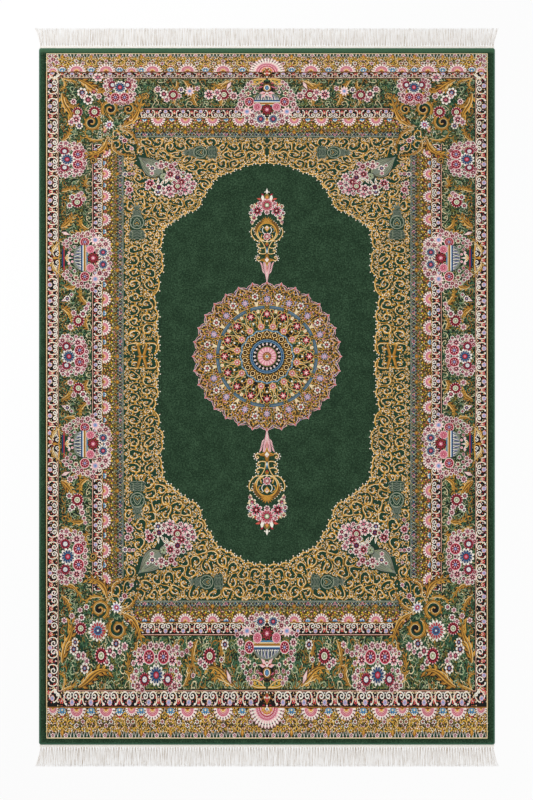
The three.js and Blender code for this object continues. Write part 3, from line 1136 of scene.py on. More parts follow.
def draw_corner(layout):
    """Where the side and end borders meet: two big gold spirals, long leaves and bouquets."""
    patch = Motif()
    for across, along, radius in ((724, 1049, 72), (653, 1121, 70), (691, 1087, 84), (751, 1147, 74),
                                  (639, 1035, 62)):
        patch.lay("deep_green", 5, disc(radius, 18, across, along))
    ground = np.array([
        (640, 1010), (700, 990), (760, 985), (795, 1030), (800, 1170), (760, 1215), (650, 1190),
        (600, 1165), (600, 1090),
    ], float)
    patch.put(scatter(ground, 9.2, [twig(*kind) for kind in FOLIAGE], 6))
    patch.lay("deep_green", 6, [(560, 925), (640, 930), (700, 985), (696, 1020), (630, 1086), (570, 1066)])
    patch.lay("deep_green", 7, disc(30, 14, 588, 1144))
    patch.put(scatter(disc(29, 14, 588, 1144), 8.6, [twig(*kind) for kind in FOLIAGE], 8))
    spirals = ((721, 1052, 40), (642, 1127, 40))
    gold = pack_circles([(560, 925), (640, 930), (700, 985), (700, 1020), (630, 1090), (570, 1070)], spirals,
                        (27, 21, 14, 9), 3, -2)
    patch.put(curls(gold, 4.6, "gold", "cream", "ivory", 8, 1.05, 12, 5, 2))
    layout.spread(patch)
    lifted = FLOWER_LAYER + 1

    def leaf(*points, width=20, lobes=6, body="amber", light="gold"):
        motif = acanthus(bezier(*points, steps=12), width, lobes, body, light)
        layout.spread(Motif().put(motif, lift=lifted), True, anchor=points[0][1])

    leaf((690, 1008), (690, 960), (716, 934), (768, 930), width=26)
    leaf((664, 1004), (676, 950), (640, 930), (572, 926), width=12, lobes=8)
    leaf((628, 1050), (600, 1060), (566, 1030), (554, 974), width=12, lobes=8)
    leaf((630, 1066), (566, 1090), (560, 1120), (540, 1184), width=26)
    leaf((882, 1218), (880, 1160), (832, 1140), (842, 1094), width=28)
    leaf((870, 1196), (864, 1160), (840, 1156), (820, 1160), width=16, lobes=4)
    leaf((812, 1280), (760, 1262), (744, 1216), (684, 1226), width=28)
    leaf((782, 1262), (760, 1240), (770, 1232), (780, 1222), width=15, lobes=4)
    leaf((660, 1092), (700, 1110), (690, 1150), (720, 1176), width=14, lobes=5)
    leaf((700, 1010), (740, 990), (776, 1000), (784, 1040), width=12, lobes=5, body="gold")
    leaf((884, 1288), (860, 1262), (868, 1236), (886, 1230), width=10, body="gold")
    leaf((884, 1288), (852, 1276), (836, 1280), (822, 1262), width=10, body="gold")
    for across, along, radius, turn, ends in (
        (721, 1052, 46, 2.0, NEAR_END), (642, 1127, 46, 5.6, NEAR_END),
        (756, 1085, 43, 2.0, FAR_END), (675, 1146, 43, 5.6, FAR_END), (596, 1146, 30, 1.0, FAR_END),
    ):
        layout.place(scroll_leaf(radius), across, along, turn, lift=lifted + 1, ends=ends)
    palmette = Motif().stack(
        0, black=disc(23, 10), ivory=petals(9, 6, 24, 9), lilac=oval(14, 16, 8), crimson=oval(9, 11, 8))
    palmette.lay("ivory", 4, disc(4, 6))
    layout.place(palmette, 648, 1045, 0.8, lift=lifted + 1, ends=NEAR_END)
    layout.place(palmette, 679, 1074, 0.8, 0.85, lift=lifted + 1, ends=FAR_END)
    for kind, across, along, radius in (
        ("rose", 613, 1000, 14), ("cool", 628, 1014, 12), ("blush", 583, 957, 10),
    ):
        layout.place(FLOWERS[kind](radius), across, along, lift=FLOWER_LAYER + 6)


BRANCHES = (  # the brown-gold leaves of the main border: start, pull, pull, tip, width
    ((882, 196), (862, 196), (846, 180), (838, 158), 17),
    ((770, 210), (800, 226), (812, 246), (806, 276), 14),
    ((872, 286), (846, 270), (812, 290), (800, 318), 14),
    ((888, 548), (866, 556), (848, 580), (838, 600), 20),
    ((768, 540), (796, 540), (812, 560), (806, 590), 15),
    ((776, 690), (800, 720), (836, 716), (856, 690), 15),
    ((884, 730), (860, 738), (846, 752), (820, 748), 14),
    ((768, 110), (784, 120), (790, 140), (776, 160), 13),
    ((764, 760), (784, 752), (792, 772), (780, 792), 14),
    ((876, 960), (848, 950), (820, 970), (800, 1010), 14),
    ((886, 1000), (862, 1010), (850, 1040), (846, 1060), 13),
    ((770, 500), (790, 520), (800, 530), (830, 520), 14),
    ((870, 128), (850, 120), (846, 112), (830, 118), 13),
    ((146, 1276), (176, 1262), (196, 1226), (250, 1230), 20),
    ((160, 1270), (200, 1256), (222, 1244), (226, 1256), 12),
    ((190, 1160), (212, 1170), (186, 1190), (200, 1230), 12),
    ((300, 1160), (322, 1180), (330, 1210), (312, 1240), 13),
    ((360, 1278), (336, 1262), (326, 1240), (340, 1216), 13),
    ((396, 1164), (410, 1186), (396, 1210), (376, 1226), 12),
    ((560, 1278), (590, 1262), (606, 1240), (596, 1206), 13),
    ((556, 1162), (574, 1178), (560, 1200), (540, 1206), 12),
    ((390, 1276), (376, 1250), (392, 1230), (404, 1246), 11),
)


def draw_main_border(layout):
    """Clusters, vases and single roses on dark green, with fine foliage between them."""
    outer_x, outer_y = BANDS["main_border"]
    cluster(side_frame(layout, outer_x - 7, 0), 0.82, 0.92)
    cluster(side_frame(layout, outer_x - 2, 846, NEAR_END))
    cluster(side_frame(layout, outer_x + 1, 898, FAR_END), 0.88, 0.95)
    cluster(end_frame(layout, 477, outer_y, NEAR_END))
    cluster(end_frame(layout, 633, outer_y - 4, FAR_END), 0.64, 0.84)
    side_vase(side_frame(layout, outer_x - 5, 402))
    end_vase(end_frame(layout, 0, outer_y))
    for flowers, ends, spirals in (
        (NEAR_FLOWERS, NEAR_END, ((749, 846, 20), (590, 1234, 15))),
        (FAR_FLOWERS, FAR_END, ((749, 891, 20), (520, 1204, 15))),
        (SIDE_FLOWERS, BOTH_ENDS, ()),
    ):
        for number, (kind, across, along, radius) in enumerate(flowers):
            fuller = radius if radius > 20 else radius * 1.2
            lift = FLOWER_LAYER + stagger(number)
            layout.place(FLOWERS[kind](fuller), across, along, lift=lift, ends=ends)
        for across, along, radius in spirals:
            layout.place(scroll_leaf(radius), across, along, 0.6, lift=FLOWER_LAYER - 1, ends=ends)
    for base, way in (((886, 226), (-0.8, 0.3)), ((886, 526), (-0.8, -0.3)), ((154, 1272), (0.5, -0.9))):
        petal = Motif().stack(
            0, black=kites([base], [way], 46, 20), pale_pink=kites([base], [way], 42, 15),
            ivory=kites([base], [way], 36, 7), rose=kites([base], [way], 26, 2.4))
        layout.spread(Motif().put(petal, lift=FLOWER_LAYER))
    for *points, width in BRANCHES:
        branch = acanthus(bezier(*points, steps=9), width * 1.2, 5)
        layout.spread(Motif().put(branch, lift=FLOWER_LAYER - 4))
    draw_corner(layout)
    inner_x, inner_y = CORNER
    zone = [(inner_x, 0), (outer_x, 0), (outer_x, outer_y), (0, outer_y), (0, inner_y), (inner_x, inner_y)]
    circles = pack_circles(zone, (), (15, 11), 3, 6)
    pick = np.arange(len(circles)) % 4
    fine = dict(turns=0.8, steps=7, leaves=2)
    layout.spread(swayed(curls(circles[pick == 0], 2.4, "cream", None, "cream", 4, **fine)))
    layout.spread(swayed(curls(circles[pick == 1], 3.4, "olive", None, "gold", 4, **fine)))
    layout.spread(swayed(curls(circles[pick == 2], 2.8, "sage", None, "ivory", 4, **fine)))
    layout.spread(swayed(curls(circles[pick == 3], 3.4, "amber", None, "coral", 4, **fine)))
    layout.spread(scatter(zone, 9.4, [twig(*kind) for kind in FOLIAGE], 2, inset=3))
    # the foliage is darker along the sides and at the far end
    dark = [twig("black", "deep_green", 16, 4.6), twig("black", "black", 14, 4)]
    side = [(inner_x, 0), (outer_x, 0), (outer_x, 1150), (inner_x, 1080)]
    layout.spread(scatter(side, 18.5, dark, 3, inset=4))
    end = [(0, inner_y), (inner_x, inner_y), (outer_x, 1160), (outer_x, outer_y), (0, outer_y)]
    layout.spread(scatter(end, 19.5, dark, 3, inset=4), ends=FAR_END)


SIDE_FLOWERS = (
    ("ring", 812, 146, 24), ("ivory", 792, 174, 14), ("blush", 778, 196, 11), ("pink", 832, 178, 11),
    ("blush", 846, 120, 12), ("cool", 860, 236, 12), ("blush", 768, 214, 9), ("ivory", 842, 252, 8),
)


# ---- the arabesque field


SPANDREL_FLOWERS = (  # kind, across, along, radius
    ("cool", 469, 727, 20), ("blush", 416, 718, 22), ("pink", 421, 743, 23), ("blush", 355, 737, 26),
    ("navy", 465, 751, 22), ("ring", 385, 756, 20), ("rose", 504, 770, 24), ("blush", 515, 749, 13),
    ("rose", 368, 778, 24), ("blush", 319, 768, 19), ("ivory", 322, 748, 15), ("navy", 385, 802, 22),
    ("blush", 337, 806, 18), ("rose", 416, 818, 22), ("pink", 385, 826, 17), ("pink", 443, 722, 13),
    ("ivory", 394, 730, 14), ("ivory", 446, 744, 12), ("navy", 340, 762, 14), ("blush", 345, 790, 14),
    ("ivory", 400, 776, 13), ("blush", 400, 842, 12), ("ivory", 432, 800, 11), ("cream", 484, 752, 11),
    ("blush", 330, 728, 12), ("ivory", 360, 826, 11), ("pink", 372, 718, 12), ("rose", 592, 738, 19),
    ("pink", 601, 770, 15), ("cream", 584, 770, 9), ("ivory", 604, 720, 10), ("cool", 611, 818, 13),
    ("rose", 592, 820, 10), ("blush", 575, 820, 8), ("pink", 455, 862, 18), ("ivory", 434, 872, 15),
    ("rose", 412, 860, 17), ("blush", 396, 874, 12), ("ivory", 476, 874, 10), ("cream", 456, 884, 11),
    ("pink", 583, 868, 8), ("rose", 590, 700, 9),
)


def urn():
    """A grey drop-shaped urn. Local +y runs from its tip to its neck."""
    motif = Motif()
    side = bezier((0, 0), (6, 30), (58, 60), (50, 104), (24, 118), (8, 120), steps=12)
    outline = np.concatenate([side, side[::-1] * (-1, 1)])
    motif.stack(0, black=outline * (1.08, 1.02), grey_green=outline)
    for share in (0.82, 0.58, 0.34):
        line = side * (share, 1) + (0, (1 - share) * 12)
        for hand in (1, -1):
            motif.level(
                2, umber=stroke(line[1:-1] * (hand, 1), 1.8),
                sage=stroke(line[1:-1] * (hand * 0.93, 1), 1.2))
    motif.stack(
        1, black=disc(19, 10, 0, 136), grey_green=disc(16, 10, 0, 136), sage=petals(6, 3, 14, 6) + (0, 136),
        umber=disc(4, 6, 0, 136))
    for x, y, radius, kind in ((-2, 78, 15, "cool"), (-20, 92, 10, "blush"), (20, 92, 10, "pink"),
                               (-4, 56, 9, "ivory")):
        motif.put(FLOWERS[kind](radius), x, y, lift=3)
    return motif


def cartouche():
    """A grey-green cartouche, along +y: a crossed palmette, a narrow neck, a ring that holds a
    heart, and a crown."""
    motif = Motif()
    motif.stack(0, deep_green=disc(36, 14), grey_green=ring(27, 32, 20), sage=ring(29.2, 30.2, 20))
    half = Motif()
    half.lay("deep_green", 0, [(0, -24), (26, -20), (12, -58), (0, -60)])
    half.lay("deep_green", 0, [(0, 33), (26, 34), (34, 48), (32, 58), (38, 72), (20, 78), (0, 78)])
    for y in (-28, -34, -40, -46, -52):
        half.lay("grey_green", 1, stroke([(0, y), ((y + 66) * 0.5, y + 5)], 2.6))
    half.lay("grey_green", 2, stroke([(22, -24), (15, -38), (8, -60)], 3))
    heart_line = bezier((0, 12), (8, 26), (26, 14), (16, -8), (0, -20), steps=9)
    half.stack(1, grey_green=stroke(heart_line, 4), sage=stroke(heart_line, 1))
    half.stack(2, grey_green=stroke(heart_line * 0.5, 2.4), gold=disc(2.4, 5, 7, 7))
    half.lay("grey_green", 1, discs([(23, -6), (22, 10), (14, 20), (13, -18)], 2.4, 5))
    for y in (38, 45, 52, 59, 66):
        half.stack(
            1, grey_green=stroke([(0, y + 3), (12, y - 1), (26, y + 2)], 2.8), sage=disc(1.7, 5, 18, y + 3))
    half.lay("grey_green", 2, stroke([(24, 35), (31, 48), (29, 58), (35, 70), (18, 76), (0, 74)], 3))
    half.stack(
        1, grey_green=kites([(0, -58)] * 3, [(1, -0.9), (1, 0.6), (0.3, -1)], 32, 9),
        deep_green=kites([(0, -58)] * 3, [(1, -0.9), (1, 0.6), (0.3, -1)], 24, 3))
    motif.put_pair(half)
    return motif.lay("gold", 3, disc(3, 6, 0, 2))


def edge_curls(points):
    """The rim towards the plain field: an arch of gold between each two points, ending in curls,
    with knobs on its outside. Gives the outline and what is drawn on it."""
    points = np.asarray(points, float)
    outline, motif = [points[0]], Motif()
    for start, end in zip(points[:-1], points[1:]):
        step = end - start
        length = np.hypot(*step)
        middle = (start + end) / 2
        outward = np.array([-step[1], step[0]]) / length
        outward *= -1 if outward @ middle > 0 else 1
        line = bezier(start, start + 0.24 * step + outward * length * 0.34,
                      end - 0.24 * step + outward * length * 0.34, end, steps=7)
        outline += list(line[1:])
        if length < 14:
            continue
        motif.stack(4, gold=stroke(line, taper(7, 3.4, 6.4, 3.4)), cream=stroke(line[2:6], 1.8, -1.4))
        for place, slant, reach in ((0.04, -0.7, 8), (0.3, -0.5, 7), (0.55, 0.4, 10), (0.8, 0.6, 7),
                                    (0.98, 0.8, 8)):
            base = line[int(round(place * 7))]
            way = outward + slant * step / length
            way /= np.hypot(*way)
            motif.stack(
                4, gold=kites([base - way], [way], reach * 1.5, 5.6),
                ivory=discs([base + way * reach], 2.6, 6))
    return np.array(outline), motif


def draw_arabesque(layout):
    """Gold curls on deep green between the borders and the plain field."""
    half_width, half_length = BANDS["arabesque"]
    edge, rim = edge_curls(FIELD_EDGE)
    outline = np.concatenate([[(half_width, 0), (half_width, half_length), (0, half_length)], edge])
    layout.spread(Motif().lay("deep_green", 1, outline))
    layout.spread(rim)

    # circles that the filigree keeps clear of: flowers, urn, leaves, the figure and the corner group
    shared = [(across, along, radius * 0.86) for _, across, along, radius in SPANDREL_FLOWERS]
    shared += [(511, 874, 38), (540, 895, 24), (470, 832, 24), (450, 790, 22), (440, 770, 22), (538, 0, 26)]
    shared.append((CORNER[0] - 112, CORNER[1] - 112, 50))
    for ends, (x, y), (end_x, end_y) in CARTOUCHES:
        clear = shared + [(x, y, 31), (x, y - 54, 24), (x, y + 46, 13)]
        clear += [(end_x, end_y, 29), (end_x - 50, end_y, 22), (end_x + 42, end_y, 12)]
        draw_filigree(layout, outline, clear, ends)
        layout.place(cartouche(), x, y, TURN / 2, lift=4, ends=ends)
        layout.place(cartouche(), end_x, end_y, TURN / 4, 0.92, lift=4, ends=ends)

    layout.place(urn(), 556, 913, math.radians(131), 1.08, lift=6)
    for number, (kind, across, along, radius) in enumerate(SPANDREL_FLOWERS):
        layout.place(FLOWERS[kind](radius), across, along, lift=8 + stagger(number))
    for across, along, turn in (
        (452, 778, 0.9), (470, 764, 0.1), (436, 792, 1.6), (440, 768, 0.6), (430, 808, 2.1),
        (448, 800, 1.2), (456, 760, 0.4),
    ):
        leaf = Motif().stack(0, ivory=blade(0, 34, 11), amber=blade(4, 20, 4.4))
        layout.place(leaf, across, along, turn, lift=7)
    # the four-lobed figure on the short axis
    star = Motif()
    for hand in (1, -1):
        for end in (1, -1):
            arm = bezier((3, 3), (13, 9), (11, 28), (21, 50), steps=9) * (hand, end)
            star.stack(
                0, deep_green=stroke(arm, 16), amber=stroke(arm, taper(9, 9, 12, 9)),
                gold=stroke(arm[:8], 2.4, 2 * hand * end))
            star.lay("gold", 2, kites([arm[8]], [(0, end)], 13, 7))
            star.lay("amber", 1, kites([arm[5]], [(hand, end)], 13, 7))
        star.stack(1, amber=kites([(0, 0)], [(hand, 0)], 26, 12), gold=kites([(0, 0)], [(hand, 0)], 20, 4))
    star.stack(3, umber=disc(5, 6), ivory=disc(2.6, 6))
    layout.spread(Motif().put(star, 538, 0, lift=5), True, FAR_END, anchor=0)


CARTOUCHES = (  # ends, its place on the side, its place at the end
    (NEAR_END, (558, 622), (260, 945)),
    (FAR_END, (560, 572), (288, 936)),
)


def draw_filigree(layout, outline, clear, ends):
    """Gold curls of all sizes over the part of the arabesque that is not taken."""
    half_width = BANDS["arabesque"][0]
    strip = [(538, 12), (half_width - 3, 12), (half_width - 3, 540), (538, 540)]
    paired = pack_circles(strip, clear, (27, 21, 16, 11), 3, -3)
    mirrored = paired * (-1, 1, 1, -1, -1) + (2 * 538, 0, 0, TURN / 2, 0)
    mirrored = mirrored[inside(mirrored[:, :2], outline)]
    mirrored = mirrored[distance_to_edges(mirrored[:, :2], outline) > mirrored[:, 2] - 5]
    taken = [tuple(circle[:3]) for circle in np.concatenate([paired, mirrored])]
    others = pack_circles(outline, clear + taken, (27, 22, 17, 13, 10, 7.6), 3, -3)
    circles = np.concatenate([paired, mirrored, others])
    large = circles[:, 2] > 14
    middling = (circles[:, 2] > 9) & ~large
    small = pack_circles(outline, clear + [tuple(circle[:3]) for circle in circles], (5.4, 4), 2)
    big = circles[large]
    inner = big * (1, 1, 0, 1, 1) + (0, 0, 8, 1.2, 0)
    between_arms = big * (1, 1, 0, 1, 1) + (0, 0, 6.5, 0, 0)
    between_arms[:, :2] += polar(big[:, 2] * 0.58, big[:, 3] + 2.4)
    for motif in (
        curls(big, 5.2, "gold", "cream", "ivory", 2, 1.06, 13, 5, 4),
        curls(circles[middling], 4.8, "gold", "cream", "ivory", 2, 1, 11, 5, 1),
        curls(circles[circles[:, 2] <= 9], 4, "gold", None, "cream", 2, 0.9, 8, 3),
        sprigs(small, 4.4, "gold", "ivory", 2), sprigs(inner, 5, "amber", "cream", 3),
        sprigs(between_arms, 4, "gold", "cream", 2),
    ):
        layout.spread(swayed(motif), True, ends)


# ---- medallion and pendants


def lobed(radius, lobes, depth, points=8):
    """A radius for each corner of a ring whose edge has pointed lobes with notches between."""
    share = np.linspace(0, 1, points + 1)[:-1]
    away = np.abs(share - 0.5) * 2
    dip = np.interp(away, (0, 0.1, 0.25, 0.6, 0.85, 1), (0, 0.34, 0.42, 0.54, 0.74, 1))
    wave = np.tile(radius - depth * dip, lobes)
    return np.append(wave, wave[0])


def around(motif, count, radius, start=0):
    """Copies of a motif in a circle. Local +y points away from the middle."""
    whole = Motif()
    for index in range(count):
        angle = start + index * TURN / count
        whole.put(motif, radius * math.sin(angle), radius * math.cos(angle), -angle)
    return whole


def medallion():
    """The round medallion, from its scalloped rim to the rose in its middle."""
    half = TURN / 32
    whole = Motif()
    rim = lobed(325, 32, 21)
    lobes = dict(corners=32 * 8, start=TURN / 4 - half / 2)
    for layer, yarn, inset in ((1, "pale_pink", 0), (2, "rose", 1.8), (3, "umber", 2.6)):
        whole.lay(yarn, layer, ring(220, rim - inset, **lobes))

    # the gold filigree between the rim and the blue arcs
    near_rim = ((0, 0, 282),)
    knots_of_rim = knots(2.7, "black", "lilac", "gold", "pale_pink", "black", "umber", "grey_green", "cream")
    whole.put(scatter(disc(311, 64), 8, knots_of_rim, 5, near_rim))
    knots_of_ring = knots(3, "black", "gold", "rose", "black", "umber", "olive", "pale_pink", "lilac",
                          "grey_green")
    whole.put(scatter(disc(298, 64), 8, knots_of_ring, 5, ((0, 0, 222),)))
    lobe, side = Motif(), Motif()
    for x, y, radius in ((16, 292, 11), (15, 272, 11), (12, 250, 10), (10.5, 233, 8)):
        line = spiral(radius, 1.1, 9, 1 if y > 260 else -1) @ np.array([[0, 1], [-1, 0]]) + (x, y)
        side.level(6, gold=stroke(line, taper(9, 2, 3, 1.8)), black=disc(3, 5, x, y))
    arch = bezier((28, 290), (24, 304), (10, 302), (2, 316), steps=6)
    side.level(6, gold=stroke(arch, 2.2), lilac=stroke(arch * (0.9, 1) + (0, 3), 2))
    side.level(7, black=oval(4.4, 3.4, 6, 10, 300), cream=disc(1.8, 5, 18, 299))
    side.stack(
        6, amber=kites([(24, 284), (4, 262)], [(1, 1), (1, 0.4)], 12, 5),
        cream=discs([(20, 262), (8, 240), (22, 238)], 1.8, 5))
    lobe.put_pair(side)
    lobe.level(7, gold=blade(290, 17, 7), coral=blade(308, 15, 6, 0.6))
    whole.put(around(lobe, 32, 0))
    whole.put(around(blossom(15, "ivory", "coral", "rose", 6), 16, 262, half), lift=7)
    palm = Motif().stack(0, umber=disc(15, 10), lilac=petals(9, 4, 15, 4.4), pale_pink=petals(7, 1, 9, 3.4))
    palm.stack(3, lilac=disc(4, 7), rose=disc(2.2, 5))
    palm.stack(
        0, amber=kites([(0, 8), (0, -8)], [(0, 1), (0, -1)], 20, 11),
        rose=kites([(0, 12), (0, -12)], [(0, 1), (0, -1)], 12, 5))
    whole.put(around(palm, 16, 247), lift=7)
    trumpet = Motif().stack(
        7, black=disc(9, 8), cream=[(-3.2, -13), (3.2, -13), (10, 9), (0, 5), (-10, 9)],
        rose=disc(1.8, 5, 0, 2))
    whole.put(around(trumpet, 16, 232, half))

    # the dark ring with red stars under gold arches
    whole.stack(4, gold=ring(218, 223, 64), black=ring(112, 220, 64))
    whole.lay("deep_green", 5, ring(112, 216, 64))
    strewn = knots(3.2, "black", "umber", "olive", "cream", "black", "black", "sage", "leaf_green")
    whole.put(scatter(disc(214, 48), 8.6, strewn, 6, ((0, 0, 124),)))
    arch, side = Motif(), Motif()
    line = bezier((0, 207), (22, 190), (37, 168), (32, 140), (8, 120), steps=9)
    side.stack(7, gold=stroke(line, taper(9, 2.4, 4, 2.4)), cream=stroke(line[1:8], 1.3, 0.8))
    for hook in (
        bezier((8, 172), (28, 174), (20, 148), (6, 158), steps=6),
        bezier((2, 160), (14, 150), (14, 132), (3, 134), steps=6),
        bezier((14, 203), (30, 206), (34, 188), (24, 182), steps=5),
        bezier((30, 158), (18, 150), (20, 134), (28, 136), steps=5),
    ):
        side.lay("gold", 7, stroke(hook, taper(len(hook) - 1, 1.6, 3, 1.6)))
    side.stack(
        7, olive=kites([(20, 164), (6, 196), (33, 176)], [(1, 1.2), (1, 0.2), (-0.2, 1)], 14, 6),
        coral=disc(2.8, 5, 26, 192))
    side.lay("cream", 8, discs([(15, 200), (20, 172), (26, 146)], 2.3, 5))
    arch.put_pair(side)
    whole.put(around(arch, 16, 0))
    star = Motif().stack(
        0, black=disc(15, 9), crimson=petals(6, 1, 17, 7), coral=petals(6, 1, 11, 6),
        pale_pink=petals(6, 1, 10, 3.8), ivory=disc(3, 6))
    whole.put(around(star, 16, 183), lift=8)
    cup = Motif().stack(9, cream=[(-5, -7), (5, -7), (7, 5), (0, 9), (-7, 5)], rose=disc(2.4, 5, 0, 2))
    whole.put(around(cup, 16, 196, half))
    whole.put(around(Motif().lay("ivory", 9, disc(4.4, 7)), 16, 152))
    whole.put(around(Motif().lay("gold", 8, ring(12, 15.5, 12)).lay("black", 8, disc(12, 10)), 16, 131, half))
    whole.put(around(rosette(11, "pale_pink", "coral", "ivory", "lilac", 7, "rose"), 16, 131, half), lift=8)

    # blue arcs
    sweep = math.radians(17.5)
    arc = Motif()
    for layer, yarn, low, high, trim in (
        (8, "grey_green", 205, 220.6, 0), (9, "black", 207, 218.6, 0.012), (10, "sky", 208.8, 216.8, 0.024),
        (11, "navy", 210, 215, 0.03), (12, "grey_green", 211.6, 214.2, 0.04),
    ):
        arc.lay(yarn, layer, ring(low, high, 6, TURN / 4 - sweep / 2 + trim, sweep - 2 * trim))
    whole.put(around(arc, 16, 0, half))
    gem = Motif().stack(
        12, black=disc(9, 8), gold=blade(-12, 24, 14, 0.5), deep_green=blade(-8, 16, 9, 0.5),
        ivory=disc(2, 5, 0, 9))
    whole.put(around(gem, 16, 211))

    # the scalloped blue ring, the gold net and the rose
    scallop = lobed(120, 16, 7, 4)
    whole.stack(
        6, black=ring(62, scallop - 2, 64, TURN / 4 - half),
        grey_green=ring(scallop - 7, scallop, 64, TURN / 4 - half),
        sky=ring(scallop - 5.4, scallop - 2, 64, TURN / 4 - half))
    whole.put(around(Motif().lay("ivory", 9, disc(1.8, 5)).lay("navy", 9, disc(1.8, 5, 7, 0)), 32, 114))
    link = Motif().stack(7, gold=ring(8, 11.4, 12), amber=disc(2, 5)).lay("cream", 8, disc(2.6, 5, 0, 13))
    link.stack(7, gold=blade(-21, 12, 6), cream=ring(8.8, 10.4, 12))
    whole.put(around(link, 18, 96))
    strut = Motif().level(8, black=disc(1.6, 5), cream=discs([(0, 9), (0, -12)], 2, 5))
    for hand in (1, -1):
        strut.lay("gold", 7, stroke([(hand * 6, -16), (0, -5), (0, 6), (hand * 7, 14)], 3))
    whole.put(around(strut, 18, 95, TURN / 36))
    whole.stack(8, grey_green=ring(61, 74, 40), sky=ring(62.6, 72, 40), navy=ring(65, 70, 40))
    whole.put(around(Motif().lay("grey_green", 11, disc(1.9, 5)), 32, 67.5))
    whole.lay("black", 9, ring(44, 62, 32))
    tooth = Motif().stack(10, ivory=blade(47, 14, 9, 0.4), rose=disc(2.6, 5, 0, 52))
    whole.put(around(tooth, 20, 0))
    whole.stack(9, olive=ring(38, 44, 32), rose=disc(40, 28), pale_pink=petals(16, 20, 39.5, 8.4))
    whole.stack(11, umber=disc(19, 16), amber=ring(8, 17, 16))
    whole.put(around(Motif().lay("crimson", 13, disc(2.6, 5)).lay("cream", 13, disc(1.5, 5, 4.6, 0)), 8,
                     12.6))
    whole.stack(12, cream=disc(8, 10), sky=disc(5, 8))
    return whole


